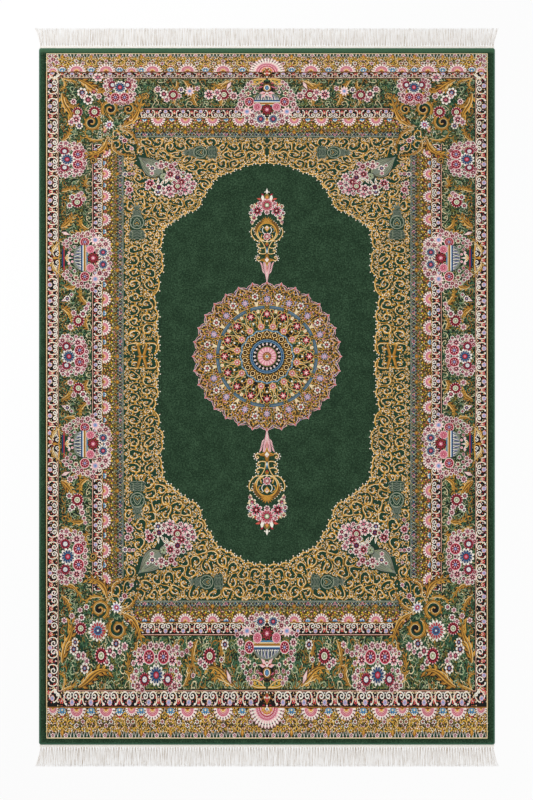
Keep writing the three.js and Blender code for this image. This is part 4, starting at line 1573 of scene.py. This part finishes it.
def pendant():
    """Drawn along +y from the medallion's rim, 420 long."""
    whole = Motif()

    def gilded(half, line, width, knobs=(), layer=5):
        half.lay("gold", layer, stroke(line, width))
        half.lay("cream", layer + 1, stroke(line, width * 0.36, width * 0.12))
        if len(knobs):
            half.lay("ivory", layer + 1, discs(knobs, 2.6, 6))

    half = Motif()
    # the striped spire with its side feathers
    side = bezier((1, -12), (4, 18), (13, 44), (17, 88), steps=8)
    half.stack(3, pale_pink=np.concatenate([side, [(0, 88)]]), rose=stroke(side * (0.72, 1), 2))
    half.level(
        4, ivory=stroke(side * (0.38, 1), 1.6), coral=kites([(3, 84)], [(0, -1)], 52, 3),
        umber=kites([(8, 86)], [(-0.1, -1)], 40, 2.4))
    feathers = [(10, 34), (12, 47), (15, 60), (18, 72)]
    half.stack(
        2, pale_pink=kites(feathers, [(0.62, 1), (0.7, 1), (0.7, 1), (0.8, 1)], 26, 6),
        rose=kites(feathers[1:], [(0.5, 1), (0.55, 1), (0.6, 1)], 20, 2.4))
    # the star and the ring curls beside it
    half.stack(
        7, amber=[(0, 70), (8, 88), (30, 97), (28, 103), (11, 106), (7, 128), (0, 126)],
        gold=stroke([(0, 71), (8, 90), (29, 100)], 2.4))
    half.lay("umber", 8, stroke([(10, 105), (6, 126)], 3))
    curl = bezier((26, 98), (38, 90), (56, 94), (56, 114), (42, 124), (28, 118), (30, 104), (42, 106),
                  steps=14)
    gilded(half, curl, 5, [(38, 92), (51, 96), (55, 106), (51, 116), (42, 121)])
    half.lay("pale_pink", 6, stroke(curl[3:11], 2.2, -1))
    # the open neck: a gold lyre with looping side stems
    gilded(half, bezier((6, 126), (4, 150), (12, 172), (34, 194), steps=8), 4)
    gilded(half, bezier((6, 128), (24, 122), (48, 128), (44, 146), (30, 150), (28, 138), steps=9), 4.4,
           [(34, 128), (43, 136), (42, 146), (31, 149)])
    gilded(half, bezier((10, 156), (28, 146), (52, 154), (48, 172), (34, 178), (32, 166), steps=9), 4.4,
           [(38, 154), (46, 162), (46, 172), (36, 177)])
    # the round body: gold below, a dark brown crescent above
    angle = np.linspace(-TURN / 4, TURN / 4, 17)
    body = polar(np.interp(angle, (-TURN / 4, 0, TURN / 4), (46, 53, 52)), angle) + (0, 228)
    half.stack(4, gold=np.concatenate([body, [(0, 228)]]), cream=stroke(body[:9], 2, 1))
    half.stack(5, amber=stroke(body[7:], taper(9, 5, 11, 9), 3), umber=stroke(body[8:], 4, 4.4))
    half.lay("umber", 6, stroke(body[9:], 2.2, -0.4))
    outward = body[7:] - (0, 228)
    half.lay("amber", 3, kites(body[7:] * (0.98, 1), outward, 10, 7))
    half.lay("ivory", 6, discs(body[7:] + outward * 0.12, 2.1, 5))
    well = polar(41 * np.ones(13), np.linspace(-TURN / 4, TURN / 4, 13)) + (0, 224)
    half.stack(7, deep_green=well, cream=stroke(well[:7], 2))
    gilded(half, bezier((28, 186), (54, 178), (66, 204), (84, 222), (76, 252), (54, 244), steps=10), 4.6,
           [(69, 246), (80, 228), (72, 206), (58, 190), (44, 184), (62, 236)], 3)
    # what stands inside it
    half.level(
        9, gold=stroke(bezier((12, 198), (24, 184), (34, 198), (22, 216), steps=6), 4),
        ivory=stroke(bezier((8, 218), (22, 222), (26, 238), (14, 250), steps=6), 3.2))
    half.level(
        9, gold=stroke(bezier((24, 224), (40, 226), (36, 248), (24, 250), steps=6), 3),
        sky=discs([(32, 226), (30, 240)], 2.6, 5), cream=discs([(16, 188), (24, 206), (20, 252)], 2.4, 5))
    # the palmette and the bouquet
    way = [(1.1, 0.6), (0.8, 1), (0.3, 1), (1.2, 0.1)]
    half.stack(9, amber=kites([(0, 270)] * 4, way, 30, 11), gold=kites([(0, 270)] * 4, way, 26, 3.4))
    half.level(
        5, lilac=kites([(60, 312), (56, 322), (54, 302)], [(1, -0.2), (1, 0.4), (1, -0.6)], 24, 8),
        coral=kites([(50, 330), (42, 340), (24, 376)], [(0.9, 1), (0.3, 1), (1, 0.2)], 24, 10))
    half.lay(
        "cream", 6,
        kites([(64, 292), (62, 332), (50, 344), (62, 274)], [(1, 0.3), (1, 1), (0.6, 1), (0.5, -1)], 18, 9))
    half.lay("black", 5, [(0, 372), (20, 366), (28, 388), (10, 406), (0, 404)])
    half.lay("ivory", 7, [(8, 368), (20, 366), (27, 384), (22, 400), (15, 390)])
    half.lay("olive", 6, [(0, 372), (10, 370), (14, 390), (6, 404), (0, 402)])
    half.lay("crimson", 8, kites([(20, 368), (14, 394)], [(1, 0.1), (1, 0.7)], 16, 8))
    whole.put_pair(half)
    whole.stack(9, ivory=blade(87, 24, 18, 0.5), rose=disc(3, 5, 0, 104))
    whole.stack(7, sky=blade(128, 30, 10, 0.35), ivory=blade(130, 18, 5, 0.4))
    whole.lay("crimson", 7, disc(4, 6, 0, 166)).lay("cream", 10, disc(5, 6, 0, 184))
    whole.lay("amber", 6, disc(8, 8, 0, 172))
    whole.stack(9, gold=blade(228, 30, 28, 0.6), ivory=blade(236, 19, 15, 0.6), crimson=blade(239, 11, 6))
    whole.put(rosette(15, "pale_pink", "crimson", "ivory", "rose", 7, "ivory"), 0, 206, lift=10)
    for x, y, radius, kind, lift in (
        (44, 324, 28, "rose", 12), (60, 292, 17, "cream", 4), (68, 272, 9, "rose", 4),
        (74, 314, 11, "ivory", 14), (34, 358, 12, "blush", 4), (68, 344, 11, "cream", 4),
    ):
        for side in (1, -1):
            whole.put(FLOWERS[kind](radius), side * x, y, lift=lift)
    whole.put(FLOWERS["pink"](14), 0, 318, lift=10)
    whole.put(rosette(27, "pale_pink", "crimson", "sage", "ivory", 12, "rose"), 0, 350, lift=18)
    whole.stack(8, coral=blade(374, 24, 16, 0.5), yellow=blade(380, 14, 7))
    whole.lay("ivory", 9, discs([(-9, 410), (9, 410), (0, 404)], 3, 6))
    return whole.lay("ivory", 9, blade(400, 28, 12))


FOLIAGE = (  # stem, leaf, length, width
    ("leaf_green", "leaf_green", 17, 3.6), ("sage", "leaf_green", 16, 2.3), ("black", "olive", 14, 3.6),
    ("olive", "amber", 16, 2.6), ("leaf_green", "leaf_green", 16, 3.0), ("sage", "olive", 15, 2.4),
    ("black", "olive", 16, 4), ("cream", "leaf_green", 16, 2.0), ("black", "leaf_green", 15, 4),
)


def draw_middle(layout):
    """The medallion and a pendant at either side of it along the carpet, the near one longer."""
    layout.put_direct(medallion(), 0, MIDDLE)
    drawn, far, near = 420, 394, 445  # lengths of a pendant
    layout.put_direct(pendant(), 0, MIDDLE + 323, size=far / drawn)
    layout.put_direct(pendant(), 0, MIDDLE - 318, turn=TURN / 2, size=near / drawn)


def draw_design():
    layout = Layout()
    draw_bands(layout)
    draw_main_border(layout)
    draw_arabesque(layout)
    draw_middle(layout)
    return layout


# ---- sizes and colours to change


def srgb(code):
    """A six-digit sRGB hex colour as linear red, green and blue."""
    values = [int(code[i : i + 2], 16) / 255 for i in (0, 2, 4)]
    return [v / 12.92 if v <= 0.04045 else ((v + 0.055) / 1.055) ** 2.4 for v in values]


class CarpetSizes(PropertyGroup):
    foundation_top: FloatProperty(
        name="Ground pile height", description="Height of the plain green pile above the floor",
        default=6.9 * MM, unit="LENGTH")
    layer_step: FloatProperty(
        name="Relief step", description="How much higher each yarn of a motif is left than the last",
        default=0.08 * MM, unit="LENGTH", precision=6)
    strand: FloatProperty(
        name="Fringe yarn", description="Thickness of one yarn of the fringe",
        default=0.9 * MM, unit="LENGTH", precision=5)
    strands: IntProperty(
        name="Yarns in a tassel", description="How many yarns each knot of the fringe gathers",
        default=9)


class CarpetColours(PropertyGroup):
    __annotations__ = {
        name: FloatVectorProperty(
            name=name.replace("_", " ").capitalize(), description=f"Dye of the {name} yarn",
            subtype="COLOR", default=srgb(code))
        for name, (code, _) in YARNS.items()
    }


# ---- materials


def add(nodes, kind, settings=(), **sockets):
    """Adds a node with its settings, and links or sets its sockets, by name or as i and a number."""
    node = nodes.new(kind)
    for name, value in dict(settings).items():
        setattr(node, name, value)
    for name, value in sockets.items():
        socket = node.inputs[int(name[1:]) if name[1:].isdigit() else name.replace("_", " ")]
        if isinstance(value, bpy.types.NodeSocket):
            nodes.id_data.links.new(value, socket)
        else:
            socket.default_value = (*value, 1) if socket.type == "RGBA" else value
    return node


def new_material(name):
    material = bpy.data.materials.new(name)
    material.use_nodes = True
    nodes = material.node_tree.nodes
    nodes.clear()
    place = add(nodes, "ShaderNodeTexCoord").outputs["Object"]
    return material, nodes, place


def tint(nodes, colour, other, field, start, end, least=0, most=1):
    """Turns a colour towards another where a field runs from start to end: its share of the other
    goes from the least to the most."""
    share = add(nodes, "ShaderNodeMapRange", Value=field, From_Min=start, From_Max=end, To_Min=least,
                To_Max=most).outputs[0]
    return add(nodes, "ShaderNodeMix", {"data_type": "RGBA"}, i0=share, i6=colour, i7=other).outputs[2]


def finish_material(material, nodes, colour, bump, strength, roughness, sheen):
    """Gives a fibre its relief, its faint gloss and its sheen."""
    relief = add(nodes, "ShaderNodeBump", Height=bump, Strength=strength, Distance=0.4 * MM).outputs[0]
    shader = add(nodes, "ShaderNodeBsdfPrincipled", Base_Color=colour, Roughness=roughness, IOR=1.5,
                 Normal=relief, Specular_IOR_Level=0.1, Sheen_Weight=sheen, Sheen_Roughness=0.45)
    add(nodes, "ShaderNodeOutputMaterial", Surface=shader.outputs[0])
    return material


def yarn_material(name, colour, silk):
    """Cut wool and silk pile: matt, a little deeper and lighter from tuft to tuft and from one
    dye lot to the next. Knots are about 1 mm, drawn here 3 mm wide so that they show."""
    drawn_knot, dye_lot = 3 * MM, 120 * MM
    material, nodes, place = new_material(f"cut_pile_{name}")
    tuft = add(nodes, "ShaderNodeTexNoise", Vector=place, Scale=1 / drawn_knot, Detail=1).outputs[0]
    lot = add(nodes, "ShaderNodeTexNoise", Vector=place, Scale=1 / dye_lot, Detail=1).outputs[0]
    deeper, lighter = ([min(1, channel * factor) for channel in colour] for factor in (0.8, 1.14))
    colour = tint(nodes, deeper, lighter, tuft, 0.3, 0.7)
    colour = tint(nodes, colour, srgb("262626"), lot, 0.35, 0.65, 0, 0.12)
    return finish_material(material, nodes, colour, tuft, 0.35, 0.9 - 0.35 * silk, 0.12 * silk)


def velvet_material():
    """The plain green pile: velvety wool whose nap leans this way and that, so it mottles in
    patches. At the carpet's edge it turns over. A painted highlight lightens the rim, a painted shade
    band lies behind it like a fold, and a painted sheen lightens the band at the far end."""
    material, nodes, place = new_material("velvet_pile_green")
    tuft = add(nodes, "ShaderNodeTexNoise", Vector=place, Scale=1 / (6 * MM), Detail=4,
               Roughness=0.8).outputs[0]
    patch = add(nodes, "ShaderNodeTexNoise", Vector=place, Scale=1 / (60 * MM), Detail=3).outputs[0]
    tuft_share = add(nodes, "ShaderNodeMath", {"operation": "MULTIPLY"}, i0=tuft, i1=0.84).outputs[0]
    nap = add(nodes, "ShaderNodeMath", {"operation": "MULTIPLY_ADD"}, i0=patch, i1=0.16,
              i2=tuft_share).outputs[0]
    colour = tint(nodes, srgb("17291b"), srgb("243b28"), nap, 0.4, 0.52)
    colour = tint(nodes, colour, srgb("3d5840"), nap, 0.5, 0.62)

    _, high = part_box("carpet_pile")
    axes = add(nodes, "ShaderNodeSeparateXYZ", Vector=place).outputs
    gaps = []
    for axis in (0, 1):
        distance = add(nodes, "ShaderNodeMath", {"operation": "ABSOLUTE"}, i0=axes[axis]).outputs[0]
        gap = add(nodes, "ShaderNodeMath", {"operation": "SUBTRACT"}, i0=high[axis], i1=distance)
        gaps.append(gap.outputs[0])
    gap = add(nodes, "ShaderNodeMath", {"operation": "MINIMUM"}, i0=gaps[0], i1=gaps[1]).outputs[0]
    far_edge = high[1]
    # painted sheen: the band at the far end is lightened, as if its nap caught the light there
    colour = tint(nodes, colour, srgb("4a6d50"), axes[1], far_edge - 26 * MM, far_edge - 14 * MM, 0, 0.6)
    # painted highlight: the outer rim is lightened, as where the turned-over pile catches the light
    colour = tint(nodes, colour, srgb("44705a"), gap, 2 * MM, 9 * MM, 0.75, 0)
    # painted shade: a darker band from 14 to 31 mm in from the edge, as if the pile folded there
    painted_fold_shade = tint(nodes, colour, srgb("0e2414"), gap, 14 * MM, 27 * MM, 0, 0.6)
    colour = tint(nodes, painted_fold_shade, colour, gap, 31 * MM, 32 * MM)
    return finish_material(material, nodes, colour, tuft, 0.5, 0.92, 0.1)


def web_material():
    """Undyed cotton, flat woven: matt and off-white, with the weft's ribs just showing."""
    material, nodes, place = new_material("plain_woven_cotton")
    weave = add(nodes, "ShaderNodeTexNoise", Vector=place, Scale=1 / (2.4 * MM), Detail=2).outputs[0]
    colour = tint(nodes, srgb("e6dfd2"), srgb("fbf8f2"), weave, 0.35, 0.65)
    return finish_material(material, nodes, colour, weave, 0.4, 0.85, 0.05)


def fringe_material():
    """Undyed silk and cotton warp: ivory with a soft lustre, and tan streaks along the tassels that
    are painted shade, where the yarns would lie in each other's shadow."""
    material, nodes, place = new_material("loose_warp_yarn")
    drawn_out = add(nodes, "ShaderNodeMapping", Vector=place, Scale=(1, 0.05, 1)).outputs[0]
    streak = add(nodes, "ShaderNodeTexNoise", Vector=drawn_out, Scale=1 / (3.2 * MM), Detail=3,
                 Roughness=0.6).outputs[0]
    # the tan end of the streaks is painted shade between the yarns
    colour = tint(nodes, srgb("cdbfae"), srgb("efe9e2"), streak, 0.36, 0.5)
    colour = tint(nodes, colour, srgb("faf7f3"), streak, 0.5, 0.66)
    return finish_material(material, nodes, colour, streak, 0.3, 0.7, 0.1)


def shows_background(nodes):
    """One for a ray from the camera or off a glossy surface, and nothing for the rest."""
    rays = add(nodes, "ShaderNodeLightPath").outputs
    return add(nodes, "ShaderNodeMath", {"operation": "MAXIMUM"}, i0=rays["Is Camera Ray"],
               i1=rays["Is Glossy Ray"]).outputs[0]


# ---- making the pieces


def deselect_all():
    if bpy.context.object and bpy.context.object.mode != "OBJECT":
        bpy.ops.object.mode_set(mode="OBJECT")
    bpy.ops.object.select_all(action="DESELECT")


def flat_map(mesh):
    """A map seen from above, in which a wall leans outwards so that it has room of its own."""
    low, high = (np.array(corner) for corner in cad_box)
    spare = 20 * MM
    count = len(mesh.vertices)
    place = np.empty(count * 3)
    mesh.vertices.foreach_get("co", place)
    place = place.reshape(-1, 3)
    corner_vertex = np.empty(len(mesh.loops), dtype=np.int32)
    mesh.loops.foreach_get("vertex_index", corner_vertex)
    drop = (high[2] - place[:, 2:3]) * np.sign(place[:, :2])
    flat = (place[:, :2] + drop - low[:2] + spare) / (high[:2] - low[:2] + 2 * spare)
    layer = mesh.uv_layers.new(name="OFBake")
    layer.data.foreach_set("uv", flat[corner_vertex].astype(np.float32).ravel())


def mesh_piece(name, points, face_sizes, corners, material):
    """A piece from arrays: its points in metres, the size of each face and all their corners."""
    mesh = bpy.data.meshes.new(name)
    mesh.vertices.add(len(points))
    mesh.vertices.foreach_set("co", np.asarray(points, np.float32).ravel())
    mesh.loops.add(len(corners))
    mesh.loops.foreach_set("vertex_index", np.asarray(corners, np.int32))
    mesh.polygons.add(len(face_sizes))
    starts = np.concatenate([[0], np.cumsum(face_sizes)[:-1]])
    mesh.polygons.foreach_set("loop_start", starts.astype(np.int32))
    mesh.update(calc_edges=True)
    mesh.validate()
    flat_map(mesh)
    mesh.materials.append(material)
    piece = bpy.data.objects.new(name, mesh)
    bpy.context.collection.objects.link(piece)
    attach(piece, "root")
    return piece


class CARPET_OT_stage(Operator):
    """Sets the floor, the soft studio light and the camera straight above"""

    bl_idname = "carpet.stage"
    bl_label = "Floor, light and camera"

    def execute(self, context):
        scene = context.scene
        camera = bpy.data.cameras.new("camera")
        camera.sensor_width, camera.lens = 36, 100
        viewed_length, centre = 3.448, (-0.002, -0.0157)
        height = viewed_length * camera.lens / camera.sensor_width
        camera.clip_start, camera.clip_end = 1, 100
        holder = bpy.data.objects.new("camera", camera)
        holder.location = (*centre, height)
        context.collection.objects.link(holder)
        scene.camera = holder

        deselect_all()
        bpy.ops.mesh.primitive_plane_add(size=60, location=(0, 0, 0))
        floor = context.object
        floor.name = "floor"
        bpy.ops.object.transform_apply(location=True, rotation=True, scale=True)
        material, nodes, _ = new_material("floor")
        diffuse = add(nodes, "ShaderNodeBsdfDiffuse", Color=(0.9, 0.9, 0.9))
        glow = add(nodes, "ShaderNodeEmission", Color=(1, 1, 1), Strength=1)
        share = add(nodes, "ShaderNodeMath", {"operation": "MULTIPLY"}, i0=shows_background(nodes),
                    i1=0.8).outputs[0]
        blend = add(nodes, "ShaderNodeMixShader", i0=share, i1=diffuse.outputs[0], i2=glow.outputs[0])
        add(nodes, "ShaderNodeOutputMaterial", Surface=blend.outputs[0])
        floor.data.materials.append(material)

        world = bpy.data.worlds.new("studio")
        world.use_nodes = True
        nodes = world.node_tree.nodes
        nodes.clear()
        strength = add(nodes, "ShaderNodeMapRange", Value=shows_background(nodes), To_Min=0.55).outputs[0]
        sky = add(nodes, "ShaderNodeBackground", Color=(1, 1, 1), Strength=strength)
        add(nodes, "ShaderNodeOutputWorld", Surface=sky.outputs[0])
        scene.world = world
        for name, place, power, size in (  # metres and watts
            ("key_light", (-2.6, 2.4, 4.6), 150, 3.0),
            ("fill_light", (3.0, -2.4, 4.6), 80, 4.0),
        ):
            lamp = bpy.data.lights.new(name, "AREA")
            lamp.energy, lamp.size = power, size
            holder = bpy.data.objects.new(name, lamp)
            holder.location = place
            direction = -holder.location
            holder.rotation_euler = direction.to_track_quat("-Z", "Y").to_euler()
            context.collection.objects.link(holder)
        scene.view_settings.view_transform = "Standard"
        return {"FINISHED"}


class CARPET_OT_pile(Operator):
    """Makes the plain green pile, with its rounded corners and its shoulder"""

    bl_idname = "carpet.pile"
    bl_label = "Green pile"

    def execute(self, context):
        sizes = context.scene.carpet_sizes
        low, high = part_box("carpet_pile")
        top, corner_radius, shoulder = sizes.foundation_top, 9 * MM, 3 * MM
        deselect_all()
        bpy.ops.mesh.primitive_cube_add(size=1, location=(0, 0, 0))
        piece = context.object
        piece.name = "green_pile"
        piece.dimensions = (high[0] - low[0], high[1] - low[1], top)
        piece.location = ((high[0] + low[0]) / 2, (high[1] + low[1]) / 2, top / 2)
        bpy.ops.object.transform_apply(location=True, rotation=True, scale=True)
        bpy.ops.object.mode_set(mode="EDIT")
        bpy.ops.mesh.select_mode(type="EDGE")
        self.select_edges(piece, lambda a, b: abs(a[2] - b[2]) > top / 2)
        bpy.ops.mesh.bevel(offset=corner_radius, segments=6)
        self.select_edges(piece, lambda a, b: min(a[2], b[2]) > top * 0.9)
        bpy.ops.mesh.bevel(offset=shoulder, segments=5)
        bpy.ops.object.mode_set(mode="OBJECT")
        bpy.ops.object.shade_smooth_by_angle(angle=math.radians(40))
        for layer in list(piece.data.uv_layers):
            piece.data.uv_layers.remove(layer)
        flat_map(piece.data)
        piece.data.materials.append(velvet_material())
        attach(piece, "root")
        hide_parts("carpet_pile")
        return {"FINISHED"}

    @staticmethod
    def select_edges(piece, wanted):
        bpy.ops.mesh.select_all(action="DESELECT")
        bpy.ops.object.mode_set(mode="OBJECT")
        mesh = piece.data
        for edge in mesh.edges:
            a, b = (mesh.vertices[index].co for index in edge.vertices)
            edge.select = wanted(a, b)
        bpy.ops.object.mode_set(mode="EDIT")


class CARPET_OT_design(Operator):
    """Draws the design and makes a piece for each dyed yarn in it, on the green pile. It comes last"""

    bl_idname = "carpet.design"
    bl_label = "Design in dyed yarns"

    def execute(self, context):
        sizes, colours = context.scene.carpet_sizes, context.scene.carpet_colours
        layout = draw_design()
        made = []
        for name, (_, silk) in YARNS.items():
            points, face_sizes, count = [], [], 0
            for (layer, corners), arrays in sorted(layout.faces.get(name, {}).items()):
                faces = np.concatenate(arrays) * MM
                share = (count + np.arange(len(faces))) % SHADES_OF_HEIGHT / SHADES_OF_HEIGHT
                height = sizes.foundation_top + (layer + share) * sizes.layer_step
                flat = faces.reshape(-1, 2)
                points.append(np.column_stack([flat, np.repeat(height, corners)]))
                face_sizes += [corners] * len(faces)
                count += (corners - 2) * len(faces)
            if not points:
                raise RuntimeError(f"the design has no {name} yarn")
            points = np.concatenate(points)
            material = yarn_material(name, list(getattr(colours, name)), silk)
            corner_list = np.arange(len(points))
            made.append(mesh_piece(f"yarn_{name}", points, face_sizes, corner_list, material))
        made += [bpy.data.objects[f"{kind}_{end}"] for kind in ("web", "tassels") for end in ("far", "near")]
        return {"FINISHED"}


class CARPET_OT_webs(Operator):
    """Makes the flat-woven strip at each end"""

    bl_idname = "carpet.webs"
    bl_label = "Woven webs"

    def execute(self, context):
        columns, rows = 720, 6
        rib, sunk, ripple = 5.4 * MM, 0.25 * MM, 0.2 * MM
        for end in ("far", "near"):
            low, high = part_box(f"end_web_{end}")
            x = np.linspace(low[0], high[0], columns + 1)
            y = np.linspace(low[1], high[1], rows + 1)
            grid_x, grid_y = np.meshgrid(x, y)
            weave = np.sin(grid_x / rib * TURN) * np.cos(np.arange(rows + 1) * TURN / 2)[:, None]
            top = high[2] - sunk + ripple * weave
            points = np.stack([grid_x, grid_y, top], axis=-1).reshape(-1, 3)
            under = points * (1, 1, 0) + (0, 0, low[2])
            index = np.arange(len(points)).reshape(rows + 1, columns + 1)
            quads = np.stack([index[:-1, :-1], index[:-1, 1:], index[1:, 1:], index[1:, :-1]], axis=-1)
            quads = quads.reshape(-1, 4)
            rim = np.concatenate([index[0, :-1], index[:-1, -1], index[-1, :0:-1], index[:0:-1, 0]])
            after = np.roll(rim, -1)
            walls = np.stack([rim + len(points), after + len(points), after, rim], axis=-1)
            faces = np.concatenate([quads, quads[:, ::-1] + len(points), walls])
            piece = mesh_piece(f"web_{end}", np.concatenate([points, under]), [4] * len(faces),
                               faces.ravel(), web_material())
            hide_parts(f"end_web_{end}")
        return {"FINISHED"}


class CARPET_OT_fringes(Operator):
    """Makes the knots and loose yarns of the fringe at each end"""

    bl_idname = "carpet.fringes"
    bl_label = "Fringes"

    def execute(self, context):
        sizes = context.scene.carpet_sizes
        for end in ("far", "near"):
            low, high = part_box(f"fringe_{end}")
            outward = 1 if end == "far" else -1
            root = low[1] if end == "far" else high[1]
            reach = high[1] - low[1]
            rng = np.random.default_rng(SEED + (end == "far"))
            points, faces = self.tassels(sizes, root, outward, reach, rng)
            piece = mesh_piece(f"tassels_{end}", points, [4] * len(faces), faces.ravel(),
                               fringe_material())
            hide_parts(f"fringe_{end}")
        return {"FINISHED"}

    @staticmethod
    def tassels(sizes, root, outward, reach, rng):
        """Square-sided yarns in bunches, each from its knot out to its own length."""
        tassels, strands, steps = 169, sizes.strands, 6
        flared, flare_reach = 7, 18 * MM  # how many tassels swing outwards at each side, and how far
        knot_length, knot_middle, knot_height = 2.5 * MM, 2.9 * MM, 1.28 * MM
        web_low, web_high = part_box("end_web_far")
        pitch = (web_high[0] - web_low[0]) / tassels
        index = np.arange(tassels)
        from_end = np.minimum(index, tassels - 1 - index)
        side = np.where(index < tassels / 2, -1, 1)
        flare = side * flare_reach * np.clip(1 - from_end / flared, 0, 1) ** 2
        centre = (index + 0.5 - tassels / 2) * pitch
        count = tassels * strands
        share = np.linspace(0, 1, steps + 1)
        which = np.repeat(index, strands)
        spot = np.tile((np.arange(strands) + 0.5) / strands - 0.5, tassels)
        spot = spot + rng.uniform(-0.5, 0.5, count) / strands
        most_sway, most_bow, least_trim, most_trim = 3.2, 1.6, 0.5, 9  # millimetres
        sway = rng.uniform(-1, 1, count) * most_sway * MM
        length = reach - rng.uniform(0, 1, count) ** 3 * most_trim * MM - least_trim * MM
        bow = rng.uniform(-1, 1, count) * most_bow * MM
        fan_out = spot * pitch * 1.25
        x = (
            centre[which][:, None]
            + fan_out[:, None] * (0.35 + 0.65 * share**0.5)
            + flare[which][:, None] * share**1.6
            + sway[:, None] * share**2
            + bow[:, None] * np.sin(share * TURN / 2)
        )
        y = root + outward * (knot_length + (length[:, None] - knot_length) * share)
        level = np.tile(np.arange(strands) % 3, tassels)
        height = sizes.strand * (0.55 + 0.55 * level)[:, None] * (1 - 0.45 * share**2) + 0 * x
        half = sizes.strand / 2 * (1 - 0.35 * share)
        ring_shape = np.array([(-1.25, 0), (0, -0.8), (1.25, 0), (0, 0.8)])
        points = np.empty((count, steps + 1, 4, 3))
        points[..., 0] = x[..., None] + ring_shape[:, 0] * half[None, :, None]
        points[..., 1] = y[..., None]
        points[..., 2] = np.maximum(height[..., None] + ring_shape[:, 1] * half[None, :, None], 0.02 * MM)
        index = np.arange(count * (steps + 1) * 4).reshape(count, steps + 1, 4)
        near, far = index[:, :-1], index[:, 1:]
        turn = np.roll(np.arange(4), -1)
        sides = np.stack([near, near[..., turn], far[..., turn], far], axis=-1).reshape(-1, 4)
        caps = np.concatenate([index[:, 0, ::-1], index[:, -1]])
        if outward < 0:
            sides, caps = sides[:, ::-1], caps[:, ::-1]
        faces = np.concatenate([sides, caps])
        points = points.reshape(-1, 3)

        # the knots: a flattened bead at the root of each tassel
        knot_sides, rings = 8, 4
        tilt = np.linspace(0.12, 0.88, rings) * TURN / 2
        angle = np.arange(knot_sides) * TURN / knot_sides
        half_width, half_length, half_height = 4.4, 2.6, 1.15  # millimetres
        bead = np.stack([
            np.sin(tilt)[:, None] * np.cos(angle) * half_width,
            -np.cos(tilt)[:, None] * half_length + 0 * angle,
            np.sin(tilt)[:, None] * np.sin(angle) * half_height,
        ], axis=-1) * MM
        middles = np.column_stack([
            centre, np.full(tassels, root + outward * knot_middle), np.full(tassels, knot_height),
        ])
        beads = bead[None] + middles[:, None, None]
        index = np.arange(tassels * rings * knot_sides).reshape(tassels, rings, knot_sides)
        index = index + len(points)
        near, far = index[:, :-1], index[:, 1:]
        turn = np.roll(np.arange(knot_sides), -1)
        sides = np.stack([near, far, far[..., turn], near[..., turn]], axis=-1).reshape(-1, 4)
        ends = []
        for ring_index, order in ((0, 1), (-1, -1)):
            loop = index[:, ring_index, ::order]
            ends += [loop[:, (0, 1, 2, 3)], loop[:, (0, 3, 4, 7)], loop[:, (4, 5, 6, 7)]]
        return np.concatenate([points, beads.reshape(-1, 3)]), np.concatenate([faces, sides, *ends])


class CARPET_PT_panel(Panel):
    """Lists what makes the carpet"""

    bl_label = "Wool and Silk Carpet"
    bl_idname = "CARPET_PT_panel"
    bl_space_type = "VIEW_3D"
    bl_region_type = "UI"
    bl_category = "Carpet"

    def draw(self, context):
        scene = context.scene
        for group in (scene.carpet_sizes, scene.carpet_colours):
            box = self.layout.box()
            for name in group.__annotations__:
                box.prop(group, name)
        for operator in OPERATORS:
            self.layout.operator(operator.bl_idname)


OPERATORS = (CARPET_OT_stage, CARPET_OT_pile, CARPET_OT_webs, CARPET_OT_fringes, CARPET_OT_design)
CLASSES = (CarpetSizes, CarpetColours, *OPERATORS, CARPET_PT_panel)


def register():
    for item in CLASSES:
        bpy.utils.register_class(item)
    bpy.types.Scene.carpet_sizes = PointerProperty(type=CarpetSizes)
    bpy.types.Scene.carpet_colours = PointerProperty(type=CarpetColours)


def unregister():
    del bpy.types.Scene.carpet_colours
    del bpy.types.Scene.carpet_sizes
    for item in reversed(CLASSES):
        bpy.utils.unregister_class(item)


def main():
    register()
    bpy.ops.carpet.stage()
    bpy.ops.carpet.pile()
    bpy.ops.carpet.webs()
    bpy.ops.carpet.fringes()
    bpy.ops.carpet.design()


if __name__ == "__main__":
    main()
